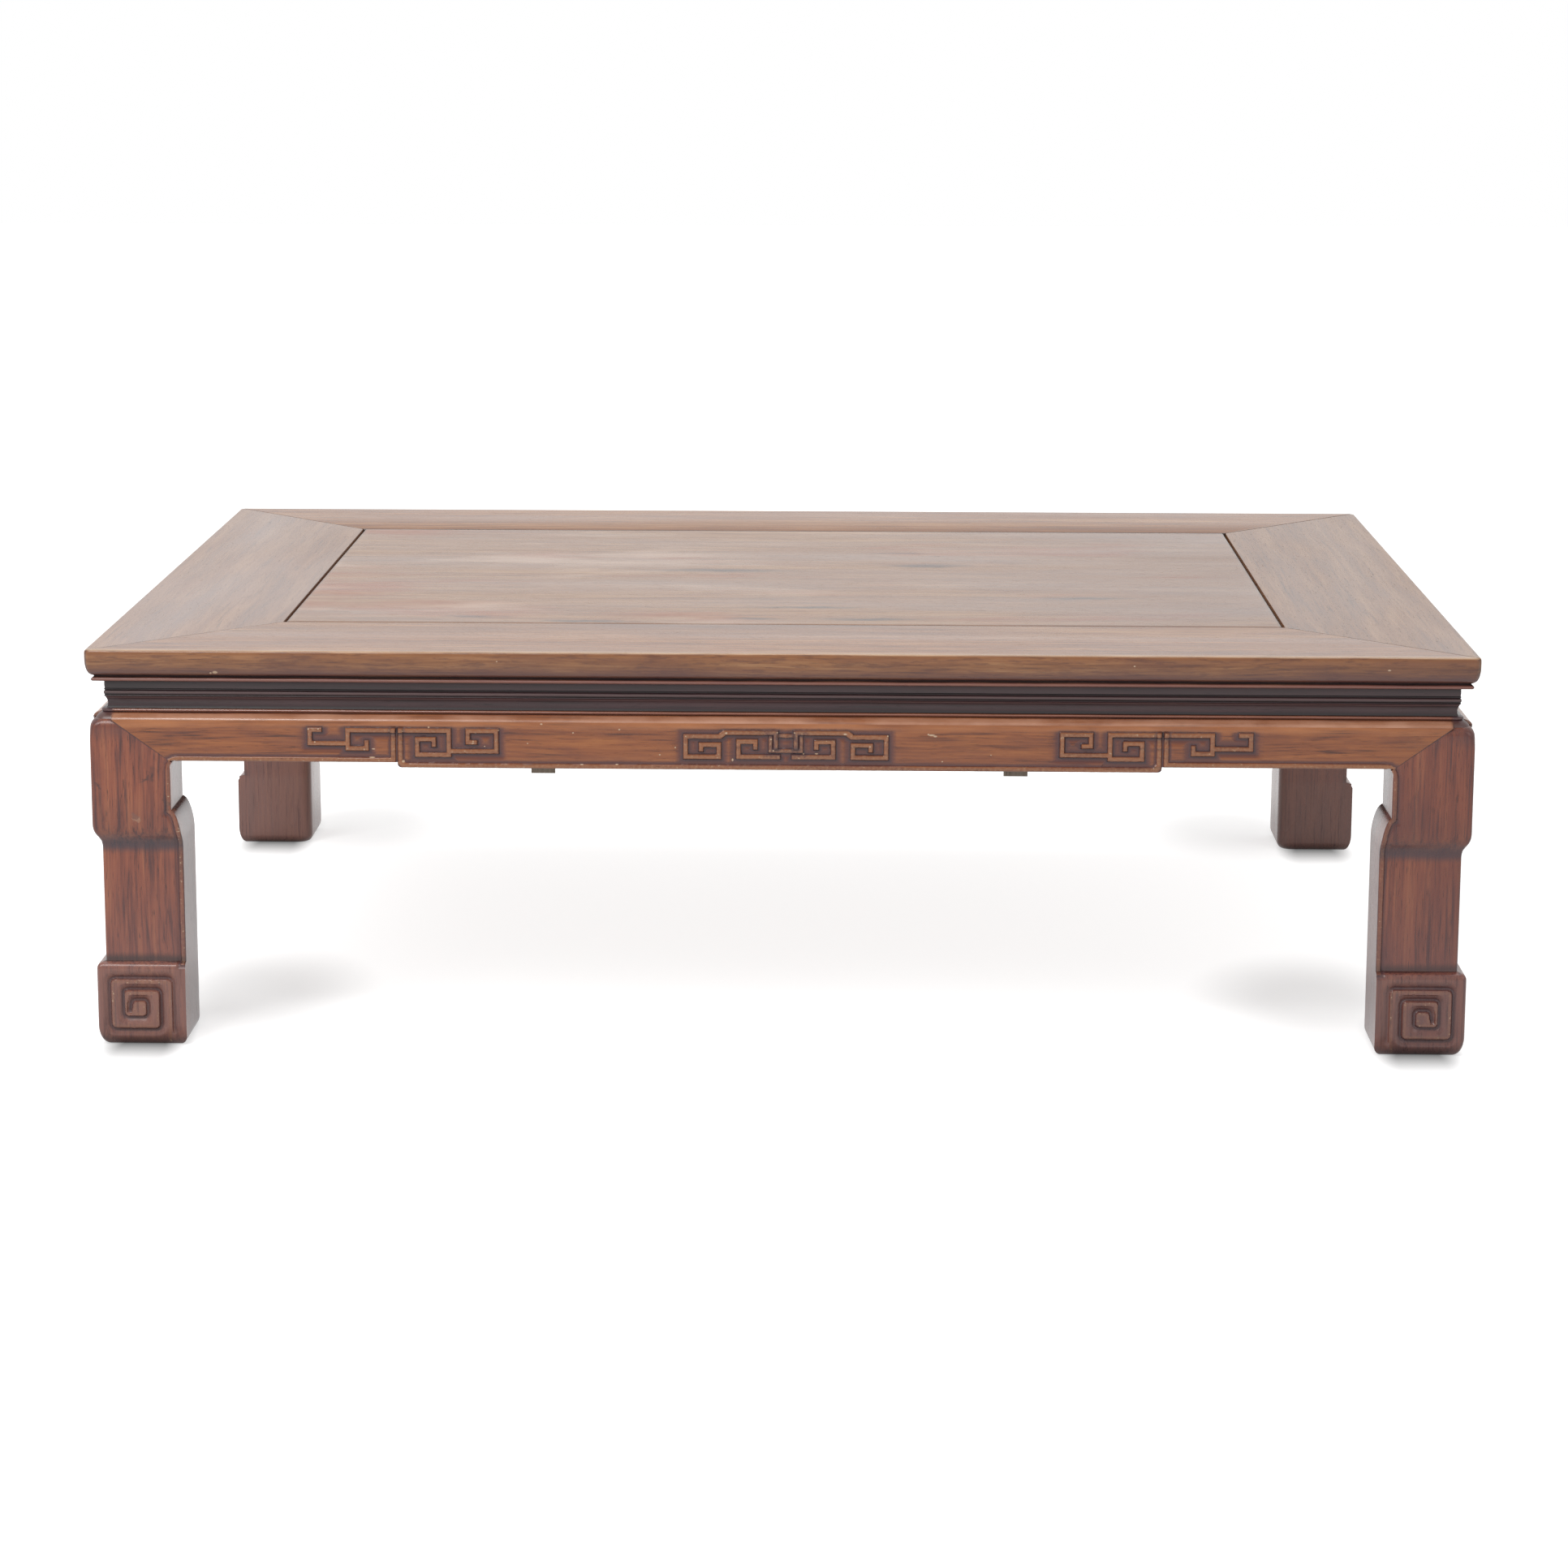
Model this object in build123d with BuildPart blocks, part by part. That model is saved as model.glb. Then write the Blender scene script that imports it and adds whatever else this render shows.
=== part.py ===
from build123d import *

import os

# Kang table: a low waisted table whose mitred frame carries a floating board.
# The frame rests on four stepped legs, tied by aprons that are mitred to them.
# Millimetres, +Z up, +X along the longest side, the front faces -Y.
# The origin is on the floor under the middle of the table.
#
# Every profile is drawn by its inset (how far in from the frame's outermost line)
# and its level (height over the floor), so all four sides share the same numbers.

os.makedirs("parts", exist_ok=True)

# ---- Overall size ----
table_length = 1060.0
table_depth = 780.0
table_height = 312.0

# ---- Top frame ----
rail_width = 134.0
rail_thickness = 22.0
frame_corner_radius = 5.0
edge_ease = 6.5  # how far the rounding of the edge reaches over the top face
edge_crown = 5.0  # depth under the top face where the edge stands out furthest
edge_tuck = 5.4  # how far the edge has drawn in where it meets the small bead
edge_bead_height = 5.0  # of the small bead under the rounded edge
edge_bead_swell = 0.5  # how far that bead stands out of the notch above it
underside_ease = 1.4

# ---- Floating board ----
panel_thickness = 12.0
panel_end_gap = 2.5
panel_side_gap = 0.8
tongue_thickness = 5.0
tongue_drop = 5.0  # from the board's face down to its tongue
tongue_reach = 7.0
panel_groove_depth = 10.0

# ---- Cross battens under the board ----
batten_count = 3
batten_spacing = 262.0
batten_width = 36.0
batten_depth = 16.0
dovetail_depth = 5.0
dovetail_neck = 20.0
dovetail_flare = 2.0
batten_tenon_length = 20.0
batten_tenon_thickness = 7.0
batten_tenon_width = 22.0

# ---- Corner joints of the frame ----
rail_tenon_thickness = 7.0
rail_tenon_inset = 78.0
rail_tenon_width = 38.0
rail_tenon_reach = 33.0

# ---- Waist ----
waist_height = 25.0
waist_inset = 14.3
ridge_inset = 13.0
hollow_inset = 14.0
cove_inset = 15.4
waist_foot_inset = 14.6
upper_ridge_drop = 10.8
lower_ridge_drop = 15.5
cove_drop = 21.0
waist_tongue_inset = 15.7
waist_tongue_thickness = 3.3
waist_tongue_height = 4.0

# ---- Cushion moulding between waist and apron ----
moulding_height = 7.3
moulding_nose_inset = 6.6
moulding_bead_inset = 9.4
moulding_quirk_inset = 10.6
moulding_bead_height = 2.5

# ---- Aprons ----
skirt_back = 26.0  # inset of the common back face of waist, moulding and apron
face_inset = 2.6  # inset of the outer faces of aprons and legs
apron_height = 31.7
shoulder_height = 9.2
lap_thickness = 16.4  # front layer of an apron, which laps over the leg
knee_radius = 5.0  # rounding between the apron's lower edge and the leg
dip_depth = 4.0  # the middle of an apron hangs lower than its ends
dip_half_long = 291.0
dip_half_short = 204.0
dip_ease = 2.0  # bevel on the corners of the dip

# ---- Legs ----
block_width = 61.4
shaft_setback = 6.4
leg_swell = 7.5
outer_step_drop = 85.2  # from the apron's top to where the outer faces step in
outer_step_height = 13.0
inner_step_drop = 70.7  # from the apron's top to where the inner faces step out
inner_step_height = 25.0
leg_inner_round = 9.0

# ---- Feet ----
foot_height = 66.5
ledge_fall = 1.0
ledge_round_width = 3.4
ledge_round_height = 5.0
toe_round_width = 8.0
toe_round_height = 16.0
heel_round_width = 7.0
heel_round_height = 8.0

# ---- Leg posts behind the waist and their tenons in the frame ----
post_inset = 26.6
post_width = 33.0
leg_tenon_thickness = 12.0
leg_tenon_width = 13.0
leg_tenon_height = 13.0
leg_tenon_margin = 1.5

# ---- Hanging keys that draw the aprons onto the legs ----
key_inset = 34.0
key_neck = 8.0
key_flare = 1.5
key_depth = 4.5

# ---- Locking pins behind the aprons ----
long_side_pin_count = 2
short_side_pin_count = 1
pin_spacing = 362.0
pin_neck = 15.5
pin_flare = 1.5
pin_housing = 5.0
pin_proud = 4.0
pin_drop = 7.5  # how far a pin shows below the apron
pin_tenon_height = 9.0

# ---- Carving ----
bead_width = 3.6
relief = 1.2
fret_height = 24.8
knot_line = 2.8
motif_shift = 5.5  # the middle motif of the front apron was carved off centre
spiral_margin_side = 9.6
spiral_margin_end = 12.7
spiral_pitch = 10.0
spiral_turns = 3
spiral_width = 3.0
spiral_depth = 1.6
spiral_lead = 3.5  # how far the groove's outer end turns in

# ---- Fits ----
fit = 0.15  # clearance on each side of a tongue, tenon, key or pin
end_fit = 0.6  # clearance at the end of a tongue or tenon

# ---- Levels and insets that follow ----
half_length = table_length / 2
half_depth = table_depth / 2
frame_level = table_height - rail_thickness
waist_level = frame_level - waist_height
apron_top = waist_level - moulding_height
apron_bottom = apron_top - apron_height
dip_level = apron_bottom - dip_depth
shoulder_level = apron_top - shoulder_height
panel_level = table_height - panel_thickness
tongue_top = table_height - tongue_drop
tongue_bottom = tongue_top - tongue_thickness
batten_bottom = panel_level - batten_depth
batten_tenon_bottom = (frame_level + panel_level - batten_tenon_thickness) / 2
rail_tenon_bottom = (frame_level + table_height - rail_tenon_thickness) / 2
block_inner = face_inset + block_width
shaft_outer = face_inset + shaft_setback
shaft_inner = block_inner + leg_swell
lap_back = face_inset + lap_thickness
outer_step_top = apron_top - outer_step_drop
outer_step_bottom = outer_step_top - outer_step_height
inner_step_top = apron_top - inner_step_drop
inner_step_bottom = inner_step_top - inner_step_height
ledge_level = foot_height - ledge_fall
post_end = post_inset + post_width
pin_front = skirt_back - pin_housing
pin_back = skirt_back + pin_proud
pin_bottom = dip_level - pin_drop

# The mitre between apron and leg runs from the top of the leg's corner block
# to the middle of the rounding between the apron's lower edge and the leg.
knee_offset = knee_radius * (1 - 0.5**0.5)
mitre_head = (lap_back, apron_top)
mitre_foot = (block_inner + knee_offset, apron_bottom - knee_offset)
mitre_fall = (mitre_head[1] - mitre_foot[1]) / (mitre_foot[0] - mitre_head[0])


class Side:
    """One side of the table and the three planes that its pieces are drawn on.

    face: x runs along the side, y is the level, and the plane looks outwards.
    section: x is the inset, y is the level, and the plane looks along the side.
    plan: x runs along the side, y is the inset, and the plane looks up.
    """

    def __init__(self, name, outward, half_span, reach):
        outward = Vector(*outward)
        along = Vector(0, 0, 1).cross(outward)
        middle = outward * reach
        self.name = name
        self.half_span = half_span
        self.reach = reach
        self.is_long = abs(outward.Y) > abs(outward.X)
        self.face = Plane(origin=middle, x_dir=along, z_dir=outward)
        self.section = Plane(origin=middle, x_dir=-outward, z_dir=along)
        self.plan = Plane(origin=middle, x_dir=along, z_dir=(0, 0, 1))
        self.dip_half = dip_half_long if self.is_long else dip_half_short
        self.motif_middle = motif_shift if name == "front" else 0
        pin_count = long_side_pin_count if self.is_long else short_side_pin_count
        first_pin = -pin_spacing * (pin_count - 1) / 2
        self.pin_places = [first_pin + pin_spacing * i for i in range(pin_count)]


sides = [
    Side("front", (0, -1, 0), half_length, half_depth),
    Side("back", (0, 1, 0), half_length, half_depth),
    Side("left", (-1, 0, 0), half_depth, half_length),
    Side("right", (1, 0, 0), half_depth, half_length),
]

corners = {
    "front_left": (-1, -1),
    "front_right": (1, -1),
    "back_left": (-1, 1),
    "back_right": (1, 1),
}

batten_places = [batten_spacing * (i - (batten_count - 1) / 2) for i in range(batten_count)]


def outline(*points, mode=Mode.ADD):
    """A straight-edged face through these points, in the sketch in hand."""
    with BuildLine() as edge:
        Polyline(*points, close=True)
    make_face(edge.edges(), mode=mode)


def block(x_from, x_to, y_from, y_to, mode=Mode.ADD):
    """A rectangle between these limits, in the sketch in hand."""
    outline((x_from, y_from), (x_to, y_from), (x_to, y_to), (x_from, y_to), mode=mode)


def line_band(points, width=bead_width):
    """A carved line of even width along these points, in the sketch in hand."""
    with BuildLine() as path:
        Polyline(*points)
    trace(path.edges(), line_width=width)


def at_corner(corner, inset_x, inset_y):
    """The plan point that lies so far in from the two outermost lines of a corner."""
    sign_x, sign_y = corner
    return (sign_x * (half_length - inset_x), sign_y * (half_depth - inset_y))


def mitred_plan(side, inset_from, inset_to):
    """Plan of a strip whose ends are mitred at 45 degrees, on side.plan."""
    span = side.half_span
    outline(
        (inset_from - span, inset_from),
        (span - inset_from, inset_from),
        (span - inset_to, inset_to),
        (inset_to - span, inset_to),
    )


def pin_plan(place, clearance=0.0, mode=Mode.ADD):
    """Plan of a locking pin: a dovetail in the skirt's back and a plain bar behind it."""
    front = pin_neck / 2 + pin_flare + clearance
    back = pin_neck / 2 + clearance
    outline(
        (place - front, pin_front - clearance),
        (place + front, pin_front - clearance),
        (place + back, skirt_back),
        (place + back, pin_back + clearance),
        (place - back, pin_back + clearance),
        (place - back, skirt_back),
        mode=mode,
    )


def key_plan(corner, along_x, clearance=0.0):
    """Plan of the dovetailed hanging key on the back of a leg's mitre."""
    near = lap_back - key_depth - clearance
    wide_from = key_inset - key_flare - clearance
    wide_to = key_inset + key_neck + key_flare + clearance
    neck_from = key_inset - clearance
    neck_to = key_inset + key_neck + clearance
    points = [(wide_from, near), (wide_to, near), (neck_to, lap_back), (neck_from, lap_back)]
    if not along_x:
        points = [(across, along) for along, across in points]
    outline(*[at_corner(corner, inset_x, inset_y) for inset_x, inset_y in points])


def rail_tenon_plan(corner, clearance=0.0):
    """Plan of the tenon that a long rail puts through the mitre into an end rail."""
    near = rail_tenon_inset - clearance
    far = rail_tenon_inset + rail_tenon_width + clearance
    tip = rail_tenon_inset - rail_tenon_reach - (end_fit if clearance else 0)
    outline(
        at_corner(corner, near, near),
        at_corner(corner, far, far),
        at_corner(corner, tip, far),
        at_corner(corner, tip, near),
    )


def leg_tenon_plan(corner, toward_long_rail, clearance=0.0):
    """Plan of one of the two tenons on a leg's post."""
    far_from = post_end - leg_tenon_margin - leg_tenon_width - clearance
    far_to = post_end - leg_tenon_margin + clearance
    near_from = post_inset + leg_tenon_margin - clearance
    near_to = post_inset + leg_tenon_margin + leg_tenon_thickness + clearance
    inset_x, inset_y = (far_from, far_to), (near_from, near_to)
    if not toward_long_rail:
        inset_x, inset_y = inset_y, inset_x
    outline(
        at_corner(corner, inset_x[0], inset_y[0]),
        at_corner(corner, inset_x[1], inset_y[0]),
        at_corner(corner, inset_x[1], inset_y[1]),
        at_corner(corner, inset_x[0], inset_y[1]),
    )


# ---- Top frame ----


def rail_section():
    """Rounded edge over a small bead, with the board's and the waist's grooves."""
    crown_level = table_height - edge_crown
    notch_level = frame_level + edge_bead_height
    bead_level = frame_level + edge_bead_height / 2
    with BuildLine() as edge:
        TangentArc((0, crown_level), (edge_ease, table_height), tangent=(0, 1))
        TangentArc((0, crown_level), (edge_tuck, notch_level), tangent=(0, -1))
        ThreePointArc(
            (edge_tuck, notch_level),
            (edge_tuck - edge_bead_swell, bead_level),
            (edge_tuck + underside_ease, frame_level),
        )
        Polyline(
            (edge_tuck + underside_ease, frame_level),
            (rail_width, frame_level),
            (rail_width, table_height),
            (edge_ease, table_height),
        )
    make_face(edge.edges())
    block(
        rail_width - panel_groove_depth,
        rail_width,
        tongue_bottom - fit,
        tongue_top + fit,
        mode=Mode.SUBTRACT,
    )
    block(
        waist_tongue_inset - fit,
        waist_tongue_inset + waist_tongue_thickness + fit,
        frame_level,
        frame_level + waist_tongue_height + end_fit,
        mode=Mode.SUBTRACT,
    )


def make_rail(side, name):
    """A long rail carries the corner tenons and takes the battens; an end rail is mortised."""
    corner_names = [key for key in corners if side.name in key]
    with BuildPart() as rail:
        with BuildSketch(side.section):
            rail_section()
        extrude(amount=side.half_span, both=True)
        with BuildSketch(side.plan):
            mitred_plan(side, 0, rail_width)
            with Locations((0, side.reach)):
                RectangleRounded(
                    2 * side.half_span,
                    2 * side.reach,
                    frame_corner_radius,
                    mode=Mode.INTERSECT,
                )
        extrude(amount=table_height, mode=Mode.INTERSECT)
        for key in corner_names:
            if side.is_long:
                with BuildSketch(Plane.XY.offset(rail_tenon_bottom)):
                    rail_tenon_plan(corners[key])
                extrude(amount=rail_tenon_thickness)
            else:
                with BuildSketch(Plane.XY.offset(rail_tenon_bottom - fit)):
                    rail_tenon_plan(corners[key], fit)
                extrude(amount=rail_tenon_thickness + 2 * fit, mode=Mode.SUBTRACT)
            with BuildSketch(Plane.XY.offset(frame_level)):
                leg_tenon_plan(corners[key], side.is_long, fit)
            extrude(amount=leg_tenon_height + end_fit, mode=Mode.SUBTRACT)
        for place in side.pin_places:
            with BuildSketch(side.plan.offset(frame_level)):
                pin_plan(place, fit)
            extrude(amount=pin_tenon_height + end_fit, mode=Mode.SUBTRACT)
        if side.is_long:
            mortise_from = rail_width - batten_tenon_length - end_fit
            for place in batten_places:
                with BuildSketch(side.plan.offset(batten_tenon_bottom - fit)):
                    half_tenon = batten_tenon_width / 2 + fit
                    block(place - half_tenon, place + half_tenon, mortise_from, rail_width)
                extrude(amount=batten_tenon_thickness + 2 * fit, mode=Mode.SUBTRACT)
    rail.part.label = name
    export_step(rail.part, f"parts/{name}.step")


make_rail(sides[0], "front_rail")
make_rail(sides[1], "back_rail")
make_rail(sides[2], "left_end_rail")
make_rail(sides[3], "right_end_rail")

# ---- Floating board, tongued all round and grooved for the battens ----

opening_length = table_length - 2 * rail_width
opening_depth = table_depth - 2 * rail_width
board_length = opening_length - 2 * panel_end_gap
board_depth = opening_depth - 2 * panel_side_gap
tongued_length = opening_length + 2 * tongue_reach
tongued_depth = opening_depth + 2 * tongue_reach


def batten_dovetail(place, clearance=0.0):
    """Section of a batten's dovetail in the board's underside, seen along the batten."""
    neck = dovetail_neck / 2 + clearance
    flare = neck + dovetail_flare
    outline(
        (place - neck, panel_level),
        (place + neck, panel_level),
        (place + flare, panel_level + dovetail_depth + clearance),
        (place - flare, panel_level + dovetail_depth + clearance),
    )


with BuildPart() as top_panel:
    with BuildSketch(Plane.XY.offset(panel_level)):
        Rectangle(board_length, board_depth)
    extrude(amount=panel_thickness)
    with BuildSketch(Plane.XY.offset(tongue_bottom)):
        Rectangle(tongued_length, tongued_depth)
    extrude(amount=tongue_thickness)
    with BuildSketch(Plane.XZ):
        for place in batten_places:
            batten_dovetail(place, fit)
    extrude(amount=half_depth, both=True, mode=Mode.SUBTRACT)
top_panel.part.label = "top_panel"
export_step(top_panel.part, "parts/top_panel.step")

# ---- Cross battens, dovetailed into the board and tenoned into the long rails ----

for number, place in enumerate(batten_places, start=1):
    name = f"cross_batten_{number}"
    with BuildPart() as batten:
        with BuildSketch(Plane.XZ):
            block(place - batten_width / 2, place + batten_width / 2, batten_bottom, panel_level)
            batten_dovetail(place)
        extrude(amount=opening_depth / 2, both=True)
        with BuildSketch(Plane.XY.offset(batten_tenon_bottom)):
            with Locations((place, 0)):
                Rectangle(batten_tenon_width, opening_depth + 2 * batten_tenon_length)
        extrude(amount=batten_tenon_thickness)
    batten.part.label = name
    export_step(batten.part, f"parts/{name}.step")

# ---- Waist strips: two fine ridges over a cove ----


def waist_section():
    """Hollow bands between two ridges, and a tongue for the frame's groove."""
    upper_ridge = frame_level - upper_ridge_drop
    lower_ridge = frame_level - lower_ridge_drop
    with BuildLine() as edge:
        ThreePointArc(
            (waist_inset, frame_level),
            (hollow_inset, (frame_level + upper_ridge) / 2),
            (ridge_inset, upper_ridge),
        )
        ThreePointArc(
            (ridge_inset, upper_ridge),
            (hollow_inset, (upper_ridge + lower_ridge) / 2),
            (ridge_inset, lower_ridge),
        )
        ThreePointArc(
            (ridge_inset, lower_ridge),
            (cove_inset, frame_level - cove_drop),
            (waist_foot_inset, waist_level),
        )
        Polyline(
            (waist_foot_inset, waist_level),
            (skirt_back, waist_level),
            (skirt_back, frame_level),
            (waist_inset, frame_level),
        )
    make_face(edge.edges())
    block(
        waist_tongue_inset,
        waist_tongue_inset + waist_tongue_thickness,
        frame_level,
        frame_level + waist_tongue_height,
    )


# ---- Cushion moulding ----


def moulding_section():
    """A cushion that leans back to a quirk, with a small bead on top."""
    bead_bottom = waist_level - moulding_bead_height
    with BuildLine() as edge:
        TangentArc(
            (moulding_nose_inset, apron_top),
            (moulding_quirk_inset, bead_bottom),
            tangent=(0, 1),
        )
        ThreePointArc(
            (moulding_quirk_inset, bead_bottom),
            (moulding_bead_inset, (bead_bottom + waist_level) / 2),
            (moulding_quirk_inset, waist_level),
        )
        Polyline(
            (moulding_quirk_inset, waist_level),
            (skirt_back, waist_level),
            (skirt_back, apron_top),
            (moulding_nose_inset, apron_top),
        )
    make_face(edge.edges())


def make_strip(side, name, draw_section):
    """A strip of the waist or moulding: mitred at both ends, housed for the pins."""
    with BuildPart() as strip:
        with BuildSketch(side.section):
            draw_section()
        extrude(amount=side.half_span, both=True)
        with BuildSketch(side.plan):
            mitred_plan(side, 0, skirt_back)
            for place in side.pin_places:
                pin_plan(place, fit, mode=Mode.SUBTRACT)
        extrude(amount=table_height, mode=Mode.INTERSECT)
    strip.part.label = name
    export_step(strip.part, f"parts/{name}.step")


for side in sides:
    make_strip(side, f"{side.name}_waist", waist_section)
    make_strip(side, f"{side.name}_moulding", moulding_section)

# ---- Aprons ----

# Carved lines of the side motif, in fret heights: (along from the end of the dip,
# up from the apron's lower edge).
outer_scroll = [(0.12, 0), (0.12, 1), (1.53, 1), (1.53, 0.43), (0.95, 0.43), (0.95, 0.62)]
outer_hook = [(1.53, 0.585), (2.7, 0.585), (2.7, 1), (2.4, 1)]
inner_scroll = [
    (-0.08, -0.1),
    (-0.08, 1),
    (-1.59, 1),
    (-1.59, 0.25),
    (-0.61, 0.25),
    (-0.61, 0.735),
    (-1.13, 0.735),
    (-1.13, 0.565),
]
inner_hook = [(-1.59, 0.363), (-3.05, 0.363), (-3.05, 1), (-2.18, 1), (-2.18, 0.645), (-2.4, 0.645)]

# Carved lines of the middle motif, from its own middle.
winged_scroll = [
    (0.31, 0.464),
    (0.31, 1),
    (1.87, 1),
    (2.04, 0.88),
    (3.08, 0.88),
    (3.08, 0.242),
    (2.06, 0.242),
    (2.06, 0.62),
    (2.6, 0.62),
    (2.6, 0.48),
]
curled_hook = [(0.94, 0.544), (0.94, 0.726), (1.45, 0.726), (1.45, 0.25), (0.24, 0.25)]
knot_post = [(0.48, 0.847), (0.48, 0.44), (0, 0.44)]
knot_bar = [(0.23, 0.907), (0, 0.907)]


def carved(points, origin, sign, width=bead_width):
    """One carved line, mirrored by sign about the origin along the apron."""
    path = []
    for along, up in points:
        path.append((origin + sign * along * fret_height, apron_bottom + up * fret_height))
    line_band(path, width)


def apron_outline(side):
    """Front view of an apron: dipped lower edge, rounded knees and mitred ends."""
    span = side.half_span
    knee_start = span - block_inner - knee_radius
    dip = side.dip_half
    for sign in (1, -1):
        with BuildLine() as edge:
            Polyline(
                (sign * (span - mitre_foot[0]), mitre_foot[1]),
                (sign * (span - mitre_head[0]), mitre_head[1]),
                (0, apron_top),
                (0, dip_level),
                (sign * (dip - dip_ease), dip_level),
                (sign * dip, dip_level + dip_ease),
                (sign * dip, apron_bottom),
                (sign * knee_start, apron_bottom),
            )
            TangentArc(
                (sign * knee_start, apron_bottom),
                (sign * (span - mitre_foot[0]), mitre_foot[1]),
                tangent=(sign, 0),
            )
        make_face(edge.edges())


def lower_bead(side):
    """Bead along the apron's lower edge, which turns up into the scrolls."""
    span = side.half_span
    knee_start = span - block_inner - knee_radius
    scroll_start = side.dip_half + outer_scroll[0][0] * fret_height
    for sign in (1, -1):
        with BuildLine() as edge:
            Line((sign * scroll_start, apron_bottom), (sign * knee_start, apron_bottom))
            TangentArc(
                (sign * knee_start, apron_bottom),
                (sign * (span - block_inner), apron_bottom - knee_radius),
                tangent=(sign, 0),
            )
        trace(edge.edges(), line_width=2 * bead_width)
    middle_end = side.dip_half + inner_scroll[0][0] * fret_height
    line_band([(-middle_end, dip_level), (middle_end, dip_level)], 2 * bead_width)


def apron_carving(side):
    """Every raised line on an apron's face."""
    lower_bead(side)
    for sign in (1, -1):
        for points in (outer_scroll, outer_hook, inner_scroll, inner_hook):
            carved(points, sign * side.dip_half, sign)
        for points in (winged_scroll, curled_hook):
            carved(points, side.motif_middle, sign)
        for points in (knot_post, knot_bar):
            carved(points, side.motif_middle, sign, knot_line)


def apron_section():
    """A flat face under a rounded shoulder."""
    with BuildLine() as edge:
        Polyline(
            (face_inset, shoulder_level),
            (face_inset, dip_level),
            (skirt_back, dip_level),
            (skirt_back, apron_top),
            (moulding_nose_inset, apron_top),
        )
        TangentArc(
            (face_inset, shoulder_level),
            (moulding_nose_inset, apron_top),
            tangent=(0, 1),
        )
    make_face(edge.edges())


def make_apron(side):
    """Carved apron: its front layer laps over the legs, its back layer stops at them."""
    name = f"{side.name}_apron"
    span = side.half_span
    face_core = face_inset + relief
    with BuildPart() as apron:
        with BuildSketch(side.section):
            apron_section()
        extrude(amount=span, both=True)
        with BuildSketch(side.face.offset(-face_core)):
            apron_carving(side)
        extrude(amount=2 * relief)
        with BuildSketch(side.face):
            apron_outline(side)
        extrude(amount=-skirt_back, mode=Mode.INTERSECT)
        with BuildSketch(side.plan):
            for sign in (1, -1):
                block(sign * (span - block_inner), sign * span, lap_back, skirt_back)
            for place in side.pin_places:
                pin_plan(place, fit)
        extrude(amount=table_height, mode=Mode.SUBTRACT)
        with BuildSketch(Plane.XY):
            for key in corners:
                if side.name in key:
                    key_plan(corners[key], side.is_long, fit)
        extrude(amount=table_height, mode=Mode.SUBTRACT)
    apron.part.label = name
    export_step(apron.part, f"parts/{name}.step")


for side in sides:
    make_apron(side)

# ---- Legs ----


class View:
    """One of the two outer faces of a leg: its plane, and which way is inwards."""

    def __init__(self, plane, inwards, sign, half_span):
        self.plane = plane
        self.inwards = inwards
        self.sign = sign
        self.half_span = half_span

    def at(self, inset, level):
        """The point of this view so far in from the frame's end, at this level."""
        return (self.sign * (self.half_span - inset), level)


def leg_views(corner):
    """The long-side view and the short-side view of the leg at a corner."""
    sign_x, sign_y = corner
    long_view = View(Plane.XZ.offset(-sign_y * half_depth), sign_y, sign_x, half_length)
    short_view = View(Plane.YZ.offset(sign_x * half_length), -sign_x, sign_y, half_depth)
    return long_view, short_view


def inner_edge(at):
    """The leg's inner edge, from the top of the foot to the rounding under the apron."""
    Line(at(shaft_inner, foot_height), at(shaft_inner, inner_step_bottom))
    TangentArc(
        at(shaft_inner, inner_step_bottom),
        at(block_inner, inner_step_top),
        tangent=(0, 1),
    )
    Line(at(block_inner, inner_step_top), at(block_inner, apron_bottom - knee_radius))


def leg_outline(view, proud=0.0):
    """Outline of a leg seen square on: shoulder, block, stepped shaft and foot."""
    at = view.at
    face = face_inset - proud
    shaft = shaft_outer - proud
    shoulder = moulding_nose_inset - proud
    with BuildLine() as edge:
        inner_edge(at)
        Polyline(
            at(block_inner, apron_bottom - knee_radius),
            at(block_inner, apron_top),
            at(shoulder, apron_top),
        )
        TangentArc(at(face, shoulder_level), at(shoulder, apron_top), tangent=(0, 1))
        Line(at(face, shoulder_level), at(face, outer_step_top))
        TangentArc(at(face, outer_step_top), at(shaft, outer_step_bottom), tangent=(0, -1))
        Polyline(
            at(shaft, outer_step_bottom),
            at(shaft, foot_height),
            at(face + ledge_round_width, ledge_level),
        )
        TangentArc(
            at(face, ledge_level - ledge_round_height),
            at(face + ledge_round_width, ledge_level),
            tangent=(0, 1),
        )
        Line(at(face, ledge_level - ledge_round_height), at(face, toe_round_height))
        TangentArc(
            at(face, toe_round_height),
            at(face + toe_round_width, 0),
            tangent=(0, -1),
        )
        Line(at(face + toe_round_width, 0), at(shaft_inner - heel_round_width, 0))
        TangentArc(
            at(shaft_inner, heel_round_height),
            at(shaft_inner - heel_round_width, 0),
            tangent=(0, -1),
        )
        Line(at(shaft_inner, heel_round_height), at(shaft_inner, foot_height))
    make_face(edge.edges())


def knee(view):
    """The leg's share of the rounding between its inner edge and the apron."""
    at = view.at
    knee_bottom = apron_bottom - knee_radius
    with BuildLine() as edge:
        TangentArc(at(block_inner, knee_bottom), at(*mitre_foot), tangent=(0, 1))
        Polyline(
            at(*mitre_foot),
            at(block_inner, mitre_foot[1] + mitre_fall * knee_offset),
            at(block_inner, knee_bottom),
        )
    make_face(edge.edges())


def inner_edge_band(view):
    """Keeps only a strip of the sketch in hand, along the leg's inner edge."""
    at = view.at
    with BuildLine() as path:
        inner_edge(at)
        TangentArc(
            at(block_inner, apron_bottom - knee_radius),
            at(block_inner + knee_radius, apron_bottom),
            tangent=(0, 1),
        )
    trace(path.edges(), line_width=2 * bead_width, mode=Mode.INTERSECT)


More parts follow.
